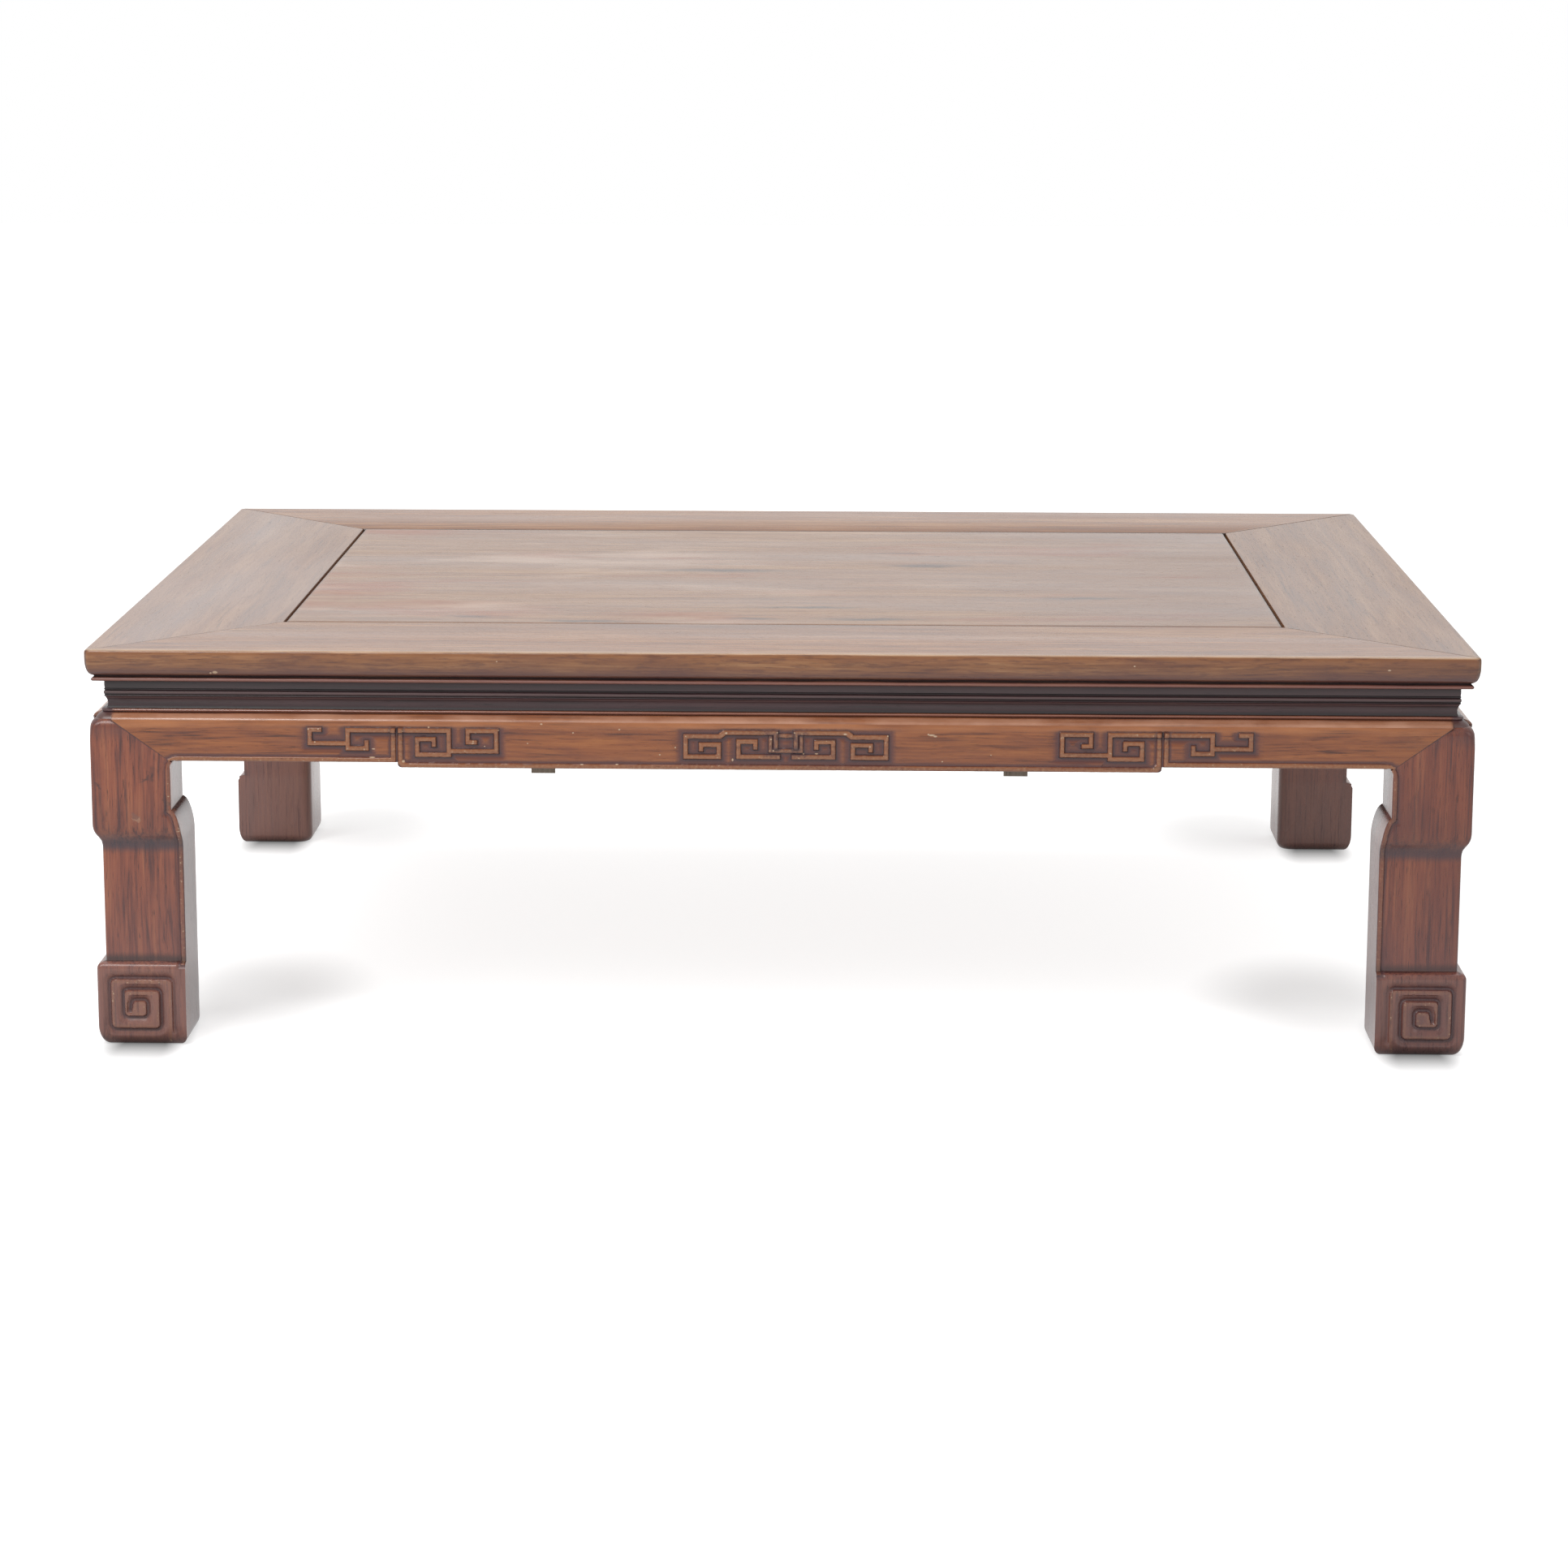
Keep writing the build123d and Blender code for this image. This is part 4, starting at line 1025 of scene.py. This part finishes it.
def make_line_tree():
    """Raised square-cornered lines of a fret or bead, on ground that sinks beside them."""
    graph, inputs = new_carving_tree("carved_lines", FRET)
    near, away = nearest_line(graph, inputs, 0.0005)
    _, _, line_level = graph.split(near)
    across, _, upright = graph.split(away)
    distance = abs(across).most(abs(upright))
    share = distance / inputs["Half Width"]
    flank = share.smooth(1.2, 0.78)
    crown = (1 - share * share).most(0.0) * inputs["Crown"]
    top = flank * (1 - inputs["Crown"]) + crown
    beside = distance - inputs["Half Width"]
    ground = (beside / inputs["Sink Reach"]).smooth(1.0, 0.3) * (1 - flank)
    # The dark outline reaches further below each line: painted shade under it.
    shaded = inputs["Half Width"] * (1.0 + upright.smooth(0.0004, -0.0012) * 0.7)
    ground = ground * (line_level + upright).smooth(0.2545, 0.2515)
    # hollow: a dark outline round each line, dark wax and painted shade.
    hollow = share.smooth(0.74, 1.1) * (beside / shaded).smooth(1.0, 0.0) * inputs["Stain"]
    height = top * inputs["Height"] - ground * inputs["Sink"]
    # crest: the tops of the lines, for their wear and a painted highlight.
    raise_surface(graph, inputs, height, hollow=hollow, ground=ground, crest=share.smooth(0.95, 0.5))
    return graph.tree


def make_scroll_tree():
    """A square scroll: the ground slopes down from one band and steps up to the next."""
    graph, inputs = new_carving_tree("carved_scroll", SCROLL_CUT)
    near, away = nearest_line(graph, inputs, 0.0004)
    middle = graph.add("ShaderNodeCombineXYZ", {}, {0: inputs["Middle Along"], 2: inputs["Middle Level"]})
    spoke = graph.vector("SUBTRACT", near, middle)
    outside = graph.vector("DOT_PRODUCT", away, spoke, out=1).smooth(-1e-7, 1e-7)
    distance = graph.vector("LENGTH", away, out=1)
    slope = ((distance - 0.0006) / inputs["Slope"]).ramp(1.0, 0.0) ** 1.5
    wall = ((distance - 0.0005) / inputs["Wall"]).smooth(1.0, 0.0)
    along, _, level = graph.split(near)
    depth = (slope * outside + wall * (1 - outside)) * level.smooth(0.004, 0.014)
    depth = depth * along.smooth(0.0616, 0.0570, 0.78, 1.0)
    # crest: the top edges of the bands, for their wear and a painted highlight.
    inside = (distance / inputs["Wall"]) * (1 - outside)
    crest = inside.smooth(1.3, 1.8) * inside.smooth(4.2, 2.6)
    height = depth * inputs["Depth"] * -1.0
    # hollow: the grooves, darkest at the steep wall: dark wax and painted shade.
    raise_surface(graph, inputs, height, hollow=depth.smooth(0.5, 1.0) * 0.8, ground=depth, crest=crest)
    return graph.tree


line_tree = make_line_tree()
scroll_tree = make_scroll_tree()


def mark_sheet(obj, sheet, outward, stain):
    """Stores each point's place on the flat sheet, the way it is carved out, and dark seams."""
    mesh = obj.data
    for name, values in (("sheet", sheet * MM), ("outward", outward)):
        layer = mesh.attributes.new(name, "FLOAT_VECTOR", "POINT")
        layer.data.foreach_set("vector", np.asarray(values, np.float32).reshape(-1))
    for name, values in (("hollow", stain), ("ground", stain * 0), ("crest", stain * 0)):
        layer = mesh.attributes.new(name, "FLOAT", "POINT")
        layer.data.foreach_set("value", np.asarray(values, np.float32).reshape(-1))


def carve(obj, tree, lines, sizes):
    """Runs a carving tree on a piece."""
    modifier = obj.modifiers.new(tree.name, "NODES")
    modifier.node_group = tree
    sockets = {item.name: item.identifier for item in tree.interface.items_tree if item.in_out == "INPUT"}
    modifier[sockets["Lines"]] = lines
    modifier[sockets["Finish"]] = obj.data.materials[0]
    for label, value in sizes.items():
        modifier[sockets[label]] = value


def settle(obj, helpers):
    """Turns the carved result into a plain mesh and removes the paths."""
    evaluated = obj.evaluated_get(bpy.context.evaluated_depsgraph_get())
    mesh = bpy.data.meshes.new_from_object(evaluated)
    obj.modifiers.clear()
    obj.data = mesh
    for name in ("sheet", "outward"):
        if name in mesh.attributes:
            mesh.attributes.remove(mesh.attributes[name])
    for helper in helpers:
        bpy.data.objects.remove(helper)
    return tidy(obj, weld=0.004, crease=38.0)


# ---- Aprons ----

APRON_SHOULDER = [(2.6, 252.5), (2.6, 254.0), (2.65, 255.3), (2.8, 256.5), (3.05, APRON_TOP)]
LOWER_SHARES = np.array([0.0, 0.04, 0.12, 0.22, 0.33, 0.44, 0.53, 0.6, 0.66, 0.73, 0.82, 0.91])
DIP_HALF = {"long": 291.0, "short": 204.0}
DIP_EASE = 2.6
KNEE_ROUND = 5.0
APRON_END = 72.0  # where the even columns of an apron give way to those that lean to the mitre
FRONT_MOTIF_SHIFT = 5.5
FRET_LEVELS = spaced(229.5, 253.2, 0.55)


def mitre_inset(level):
    return MITRE_HEAD_INSET + (APRON_TOP - level) * MITRE_SLOPE


def apron_bottom_edge(along, span, dip_half):
    """Level of the lower edge: lower in the middle, rounded down to the legs."""
    along = np.abs(along)
    rise = np.clip((along - (dip_half - 0.15)) / 0.3, 0, 1)
    corner = np.clip((along - (dip_half - DIP_EASE)) / DIP_EASE, 0, 1)
    level = DIP_BOTTOM + DIP_EASE * (1 - np.sqrt(np.clip(1 - corner**2, 0, 1)))
    level = level * (1 - rise) + APRON_BOTTOM * rise
    knee = np.clip((along - (span - BLOCK_INNER - KNEE_ROUND)) / KNEE_ROUND, 0, 1)
    return level - KNEE_ROUND * (1 - np.sqrt(np.clip(1 - knee**2, 0, 1)))


def make_apron(side):
    """A carved apron, mitred to the legs."""
    span = side.half_span
    dip_half = DIP_HALF[side.length]
    middle = FRONT_MOTIF_SHIFT if side.name == "front" else 0.0
    body_end = span - APRON_END
    fine = [(-dip_half - 71, -dip_half + 80), (middle - 81, middle + 81), (dip_half - 80, dip_half + 71)]
    columns = [-body_end]
    for low, high in fine:
        columns += list(spaced(columns[-1], low, COARSE_STEP)[1:])
        columns += list(spaced(low, high, FINE_STEP)[1:])
    columns += list(spaced(columns[-1], body_end, COARSE_STEP)[1:])
    extra = [s * (dip_half + e) for s in (-1, 1) for e in (-0.15, 0.15)]
    columns = np.array(sorted(set(np.round(columns + extra, 3))))
    shoulder = flow(APRON_SHOULDER, 0.9)

    def column(along, end_share=0.0, sign=1):
        """A ring up the front, over the top and down the back; end_share runs on to the mitre."""
        edge = apron_bottom_edge(along, span, dip_half)
        levels = np.concatenate([edge + LOWER_SHARES * (FRET_LEVELS[0] - edge), FRET_LEVELS])
        insets = np.where(levels > SHOULDER, np.interp(levels, shoulder[:, 1], shoulder[:, 0]), FACE)
        top = shoulder[shoulder[:, 1] > FRET_LEVELS[-1] + 0.3]
        back = [APRON_TOP, 244.0, 232.0, edge + 1.5]
        levels = np.concatenate([levels, top[:, 1], back, [edge] * 3])
        insets = np.concatenate([insets, top[:, 0], [SKIRT_BACK] * len(back), [24.5, 14.0, 6.0]])
        if end_share:
            ends = span - mitre_inset(levels) - MITRE_GAP
            along = sign * (body_end + (ends - body_end) * end_share)
            edge = apron_bottom_edge(along, span, dip_half)
            lowest, fret_foot = levels.min(), FRET_LEVELS[0]
            lifted = edge + (levels - lowest) * (fret_foot - edge) / (fret_foot - lowest)
            levels = np.where(levels < fret_foot, lifted, levels)
        return np.broadcast_to(along, levels.shape), insets, levels

    shares_end = np.append(np.linspace(0, 1, 13)[1:-1], [0.975, 0.99, 1.0])
    rows = [column(0, t, -1) for t in shares_end[::-1]]
    rows += [column(x) for x in columns]
    rows += [column(0, t, 1) for t in shares_end]
    along, inset, level = (np.array([r[i] for r in rows]) for i in range(3))
    obj = loft(side.name + "_apron_wood", side.place(along, inset, level), "apron_" + side.length)
    front = inset < SKIRT_BACK
    front[:, -3:] = False
    seam = np.zeros(along.shape)
    seam[[0, 1, -2, -1]] = MITRE_STAIN
    sheet = np.stack([along, np.zeros_like(along), level], -1)
    mark_sheet(obj, sheet, front[..., None] * side.outward(), seam * front)
    beads = path_object("bead_path", apron_beads(span, dip_half))
    lines, knots = fret_lines(dip_half, middle)
    frets = path_object("fret_path", lines)
    knot_path = path_object("knot_path", knots)
    for path, sizes in ((beads, EDGE_BEAD), (frets, FRET), (knot_path, KNOT)):
        carve(obj, line_tree, path, sizes)
    return settle(obj, (beads, frets, knot_path))


for side in SIDES:
    pieces[side.name + "_apron"] = make_apron(side)

# ---- Legs ----


def eased(t, power):
    """Nothing at 0, one at 1, with a level start and a steep end, like a quarter round."""
    return 1 - math.sqrt(max(0.0, 1 - min(1.0, max(0.0, t)) ** power))


TOE_HEIGHT = 16.0
TOE_WIDTH = 8.0
LEDGE = 65.5
LEDGE_ROUND = 5.0
LEDGE_WIDTH = 3.4
FOOT_TOP = 66.5
BLOCK_FOOT = 178.0
SHOULDER_FALL = 3.3
STEP_HOLLOW = [(SHAFT, 153.5), (SHAFT, 156.0), (8.75, 158.8), (7.9, 161.6), (6.5, 164.2)]
STEP_ROUND = [(4.8, 166.9), (3.5, 169.8), (2.8, 173.0), (FACE, 176.0), (FACE, BLOCK_FOOT)]
STEP_CURVE = flow(STEP_HOLLOW + STEP_ROUND, 0.8)


def outer_face(level):
    """Inset of a leg's outer faces at a level."""
    if level < TOE_HEIGHT:
        return FACE + TOE_WIDTH * eased((TOE_HEIGHT - level) / TOE_HEIGHT, 2.0)
    if level <= LEDGE:
        return FACE + LEDGE_WIDTH * eased((level - LEDGE + LEDGE_ROUND) / LEDGE_ROUND, 2.0)
    if level < FOOT_TOP:
        return FACE + LEDGE_WIDTH + (SHAFT - FACE - LEDGE_WIDTH) * (level - LEDGE)
    if level < BLOCK_FOOT:
        return float(np.interp(level, STEP_CURVE[:, 1], STEP_CURVE[:, 0]))
    return FACE + SHOULDER_FALL * min(1.0, max(0.0, level - SHOULDER) / (APRON_TOP - SHOULDER)) ** 3.6


INNER_ROUND = 9.0
POST_OUTER = 26.6
POST_INNER = 59.6


def corner_radius(level):
    """Rounding of the outer corner in plan."""
    if level < 66.0:
        return 3.0
    if level < 160.0:
        return 1.8
    return 2.4 + 5.8 * min(1.0, max(0.0, level - 240.0) / 17.0) ** 1.5


def leg_ring(level, post=False):
    """Plan of a leg at one level, and which of its points lie on its front and on its left face."""
    outer = outer_face(level)
    inner = float(inner_edge(level)) + 5.0 * eased((level - 221.0) / 5.0, 2.0)
    if level > 225.0:
        inner = BLOCK_INNER + 1.4
    radius = corner_radius(level)
    split = min(mitre_inset(min(level, APRON_TOP)), inner) if level > 223.0 else inner
    behind = outer + (1.5 if level > 223.0 else 0.8)
    centre = outer + radius
    turns = np.linspace(math.pi / 2, 0, 9)[1:-1]
    corner = [(centre - radius * math.cos(t), centre - radius * math.sin(t)) for t in turns]
    face = [(a, outer) for a in split - (split - centre) * np.linspace(0, 1, 104)]
    recess = [(a, behind) for a in np.linspace(inner, split, 5)]
    pivot = inner - INNER_ROUND
    wall = np.linspace(behind, pivot, 12)[1:]
    turns = np.linspace(math.pi / 2, 0, 11)[1:-1]
    heel = [(pivot + INNER_ROUND * math.cos(t), pivot + INNER_ROUND * math.sin(t)) for t in turns]
    half = recess + face
    ring = half + corner + [(b, a) for a, b in half[::-1]]
    ring += [(b, inner) for b in wall] + heel + [(inner, b) for b in wall[::-1]]
    ring = np.array(ring)
    if post:
        ring = np.clip(ring, POST_OUTER, POST_INNER)
    front = np.zeros(len(ring), bool)
    left = np.zeros(len(ring), bool)
    front[len(recess) : len(half)] = True
    left[len(half) + len(corner) : 2 * len(half) + len(corner) - len(recess)] = True
    return ring, front, left


LEG_LEVELS = np.concatenate(
    [
        spaced(0.0, 8.0, 0.5),
        spaced(8.0, 60.0, FINE_STEP)[1:],
        spaced(60.0, LEDGE, 0.5)[1:],
        [66.1, FOOT_TOP, 66.9, 70.0],
        spaced(70.0, 153.0, COARSE_STEP)[1:],
        spaced(153.0, 188.0, 0.75)[1:],
        spaced(188.0, 219.0, 3.1)[1:],
        spaced(219.0, 230.0, 0.6)[1:],
        spaced(230.0, 247.0, 2.4)[1:],
        spaced(247.0, APRON_TOP, 0.8)[1:],
    ]
)
CORNER_SIGNS = ((-1, -1), (1, -1), (1, 1), (-1, 1))


def make_leg(key):
    """A stepped leg with a square scroll on both outer faces of its foot."""
    quarter = CORNERS[key]
    sign_x, sign_y = CORNER_SIGNS[quarter]
    corner = np.array([sign_x * HALF_LENGTH, sign_y * HALF_DEPTH, 0.0])
    plan = [(z, False) for z in LEG_LEVELS] + [(APRON_TOP + 0.4, True), (FRAME_BOTTOM, True)]
    rings, sheets, outs, seams = [], [], [], []
    for level, post in plan:
        below = min(level, APRON_TOP)
        ring, front, left = leg_ring(below, post)
        heights = np.full(len(ring), level)
        rings.append(turned(np.column_stack([ring, heights]), quarter) + corner)
        reach = np.where(left, ring[:, 1], ring[:, 0])
        sheets.append(np.column_stack([reach, np.zeros(len(ring)), heights]))
        out = np.zeros((len(ring), 3))
        if not post:
            out[front] = (0, -1, 0)
            out[left] = (-1, 0, 0)
        outs.append(turned(out, quarter))
        at_mitre = (front | left) & (level > APRON_BOTTOM) & (reach > mitre_inset(below) - MITRE_STAIN_WIDTH)
        seams.append(at_mitre * MITRE_STAIN)
    obj = loft(key + "_leg_wood", np.array(rings), "leg")
    mark_sheet(obj, np.array(sheets), np.array(outs), np.array(seams))
    bead = path_object("bead_path", [LEG_BEAD])
    scroll = path_object("scroll_path", [SCROLL])
    carve(obj, line_tree, bead, LEG_EDGE_BEAD)
    carve(obj, scroll_tree, scroll, SCROLL_CUT)
    return settle(obj, (bead, scroll))


for key in CORNERS:
    pieces[key + "_leg"] = make_leg(key)

# ---- Floating board ----


BOARD_END_GAP = 2.4
BOARD_SIDE_GAP = 0.6
BOARD_BOTTOM = 300.0
TONGUE = (302.0, 307.0)
TONGUE_REACH = 8.0


def make_board():
    """The board: flush with the frame, its edges eased, its ends a little short over their tongues."""

    def eased_line(half):
        near = [half - 1.0, half - 0.3, half]
        places = np.concatenate([[-v for v in near[::-1]], spaced(6 - half, half - 6, 20.0), near])
        drops = np.array([0.9, 0.25, 0.0] + [0.0] * (len(places) - 6) + [0.0, 0.25, 0.9])
        return places, drops

    half_y = BOARD_HALF_DEPTH - BOARD_SIDE_GAP
    across, drop = eased_line(half_y)
    section = [(y, TABLE_HEIGHT - d) for y, d in zip(across, drop)]
    below = [(half_y, 306.0), (half_y, BOARD_BOTTOM), (-half_y, BOARD_BOTTOM), (-half_y, 306.0)]
    section = np.array(section + below)
    rings = []
    for x, fall in zip(*eased_line(BOARD_HALF_LENGTH - BOARD_END_GAP)):
        level = np.minimum(section[:, 1], TABLE_HEIGHT - fall)
        rings.append(np.column_stack([np.full(len(section), x), section[:, 0], level]))
    tongue = np.clip(section[:, 1], *TONGUE)
    for x in (rings[0][0, 0], -BOARD_HALF_LENGTH - TONGUE_REACH):
        rings.insert(0, np.column_stack([np.full(len(section), x), section[:, 0], tongue]))
        rings.append(np.column_stack([np.full(len(section), -x), section[:, 0], tongue]))
    return tidy(loft("top_panel_wood", np.array(rings), "board"))


pieces["top_panel"] = make_board()

# ---- Bodies and the pieces that stay as they come ----

SLOTS = {"rail": "frame_wood", "panel": "panel_wood", "waist": "waist_wood", "leg": "leg_wood"}

for node, obj in pieces.items():
    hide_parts(node)
    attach(obj, "root")
    SLOTS.get(node.split("_")[-1], "skirt_wood")
for node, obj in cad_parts.items():
    if node not in pieces:
        obj.data.materials.clear()
        obj.data.materials.append(FINISHES["batten" if "batten" in node else "pin"])

# ---- Floor, light and camera ----

# Each soft painted shade on the floor: its middle, its reach and how deep it is, for the right half.
FOOT_SHADES = (
    (0.430, -0.225, 0.125, 0.185, 0.3),
    (0.42, 0.42, 0.13, 0.17, 0.28),
)
TABLE_SHADE = 0.03
# The narrow painted shade where a foot meets the floor: its middle, half its core and its reach, in x and y.
FOOT_MIDDLE = (0.4925, 0.3525)
FOOT_HALF = (0.016, 0.028)
CONTACT_REACH = (0.023, 0.064)
CONTACT_SHADE = 0.7
CONTACT_DARK = 0.9
FLOOR_REACH = 9.0
FLOOR_GLOW = 0.87
FLOOR_GREY = (0.66, 0.66, 0.66)
BLACK = (0.0, 0.0, 0.0)
WHITE = (1.0, 1.0, 1.0)


def make_floor():
    """A white floor that keeps real shadows, with soft painted shades under the table and at its feet."""
    mesh = bpy.data.meshes.new("floor")
    corners = [(x * FLOOR_REACH, y * FLOOR_REACH, 0.0) for x, y in CORNER_SIGNS]
    mesh.from_pydata(corners, [], [(0, 1, 2, 3)])
    floor = make_object("floor", mesh)
    material = bpy.data.materials.new("floor_white")
    material.use_nodes = True
    graph = Graph(material.node_tree)
    shader = material.node_tree.nodes["Principled BSDF"]
    shader.inputs["Roughness"].default_value = 0.9
    shader.inputs["Specular IOR Level"].default_value = 0.1
    spot = graph.add("ShaderNodeTexCoord", {}, {}, "Object")
    side, deep, _ = graph.split(spot)
    spot = graph.add("ShaderNodeCombineXYZ", {}, {0: abs(side), 1: deep})
    # Painted shadows on the floor: faint under the table, deeper inside the feet.
    shade = abs(side).smooth(0.52, 0.36) * abs(deep).smooth(0.44, 0.3) * TABLE_SHADE
    for x, y, reach_x, reach_y, amount in FOOT_SHADES:
        away = graph.vector("DIVIDE", graph.vector("SUBTRACT", spot, (x, y, 0.0)), (reach_x, reach_y, 1.0))
        shade = shade.most(graph.vector("LENGTH", away, out=1).smooth(1.0, 0.2) * amount)
    beside = [
        (abs(abs(v) - middle) - half).most(0.0) / reach
        for v, middle, half, reach in zip((side, deep), FOOT_MIDDLE, FOOT_HALF, CONTACT_REACH)
    ]
    feet = ((beside[0] * beside[0] + beside[1] * beside[1]) ** 0.5).ramp(1.0, 0.0)
    # The painted shades lower the glow that is seen.
    glow = graph.seen_directly() * (FLOOR_GLOW - shade.most(feet * CONTACT_SHADE))
    # The painted contact shade also darkens the floor's colour.
    graph.feed(shader.inputs["Base Color"], graph.blend(feet * CONTACT_DARK, FLOOR_GREY, BLACK))
    graph.feed(shader.inputs["Emission Color"], graph.blend(glow, BLACK, WHITE))
    shader.inputs["Emission Strength"].default_value = 1.0
    mesh.materials.append(material)


# Each light has its place, the point it looks at, its width, its height and its watts.
LIGHTS = {
    "key": ((-1.7, -2.0, 2.4), (0.0, 0.0, 0.2), 1.8, 1.4, 43.0),
    "fill": ((2.2, -2.0, 1.7), (0.0, 0.0, 0.15), 1.6, 1.4, 8.0),
    "top": ((0.0, 0.5, 2.8), (0.0, 0.0, 0.0), 2.6, 2.0, 26.0),
    "sparkle": ((-0.7, -1.5, 2.0), (0.0, -0.3, 0.2), 0.5, 0.3, 8.0),
}


def make_light(name, place, aim, width, height, watts):
    """A soft rectangular light."""
    data = bpy.data.lights.new(name, "AREA")
    data.shape = "RECTANGLE"
    data.size = width
    data.size_y = height
    data.energy = watts
    light = bpy.data.objects.new(name, data)
    bpy.context.scene.collection.objects.link(light)
    light.location = place
    light.rotation_euler = (Vector(aim) - Vector(place)).to_track_quat("-Z", "Y").to_euler()


WORLD_LIGHT = 0.42


def make_world():
    """White where it is seen, dimmer as light."""
    world = bpy.data.worlds.new("studio")
    bpy.context.scene.world = world
    world.use_nodes = True
    graph = Graph(world.node_tree)
    background = world.node_tree.nodes["Background"]
    background.inputs["Color"].default_value = (*WHITE, 1.0)
    graph.feed(background.inputs["Strength"], graph.seen_directly().ramp(0, 1, WORLD_LIGHT, 1.0))


IMAGE_SIZE = 1932  # pixels, as are the next two
FOCAL_LENGTH = 4823.3
OPTICAL_CENTRE = (901.6, 875.2)
SENSOR_WIDTH = 36.0
CAMERA_PLACE = (0.0566, -3.3062, 0.8315)
CAMERA_ANGLES = (10.919, -1.811, -0.026)  # degrees of pitch, yaw and roll


def make_camera():
    """A long lens a little right of the middle, looking down at the front."""
    data = bpy.data.cameras.new("camera")
    data.sensor_width = SENSOR_WIDTH
    data.lens = FOCAL_LENGTH / IMAGE_SIZE * SENSOR_WIDTH
    data.shift_x = (IMAGE_SIZE / 2 - OPTICAL_CENTRE[0]) / IMAGE_SIZE
    data.shift_y = (OPTICAL_CENTRE[1] - IMAGE_SIZE / 2) / IMAGE_SIZE
    camera = bpy.data.objects.new("camera", data)
    bpy.context.scene.collection.objects.link(camera)
    pitch, yaw, roll = (math.radians(angle) for angle in CAMERA_ANGLES)
    forward = Vector((math.sin(yaw) * math.cos(pitch), math.cos(yaw) * math.cos(pitch), -math.sin(pitch)))
    right = Vector((math.cos(yaw), -math.sin(yaw), 0.0))
    down = forward.cross(right)
    across = right * math.cos(roll) + down * math.sin(roll)
    drop = down * math.cos(roll) - right * math.sin(roll)
    axes = Matrix((across, -drop, -forward)).transposed().to_4x4()
    camera.matrix_world = Matrix.Translation(CAMERA_PLACE) @ axes
    bpy.context.scene.camera = camera


make_floor()
make_world()
for name, settings in LIGHTS.items():
    make_light(name, *settings)
make_camera()
bpy.context.scene.view_settings.view_transform = "Standard"
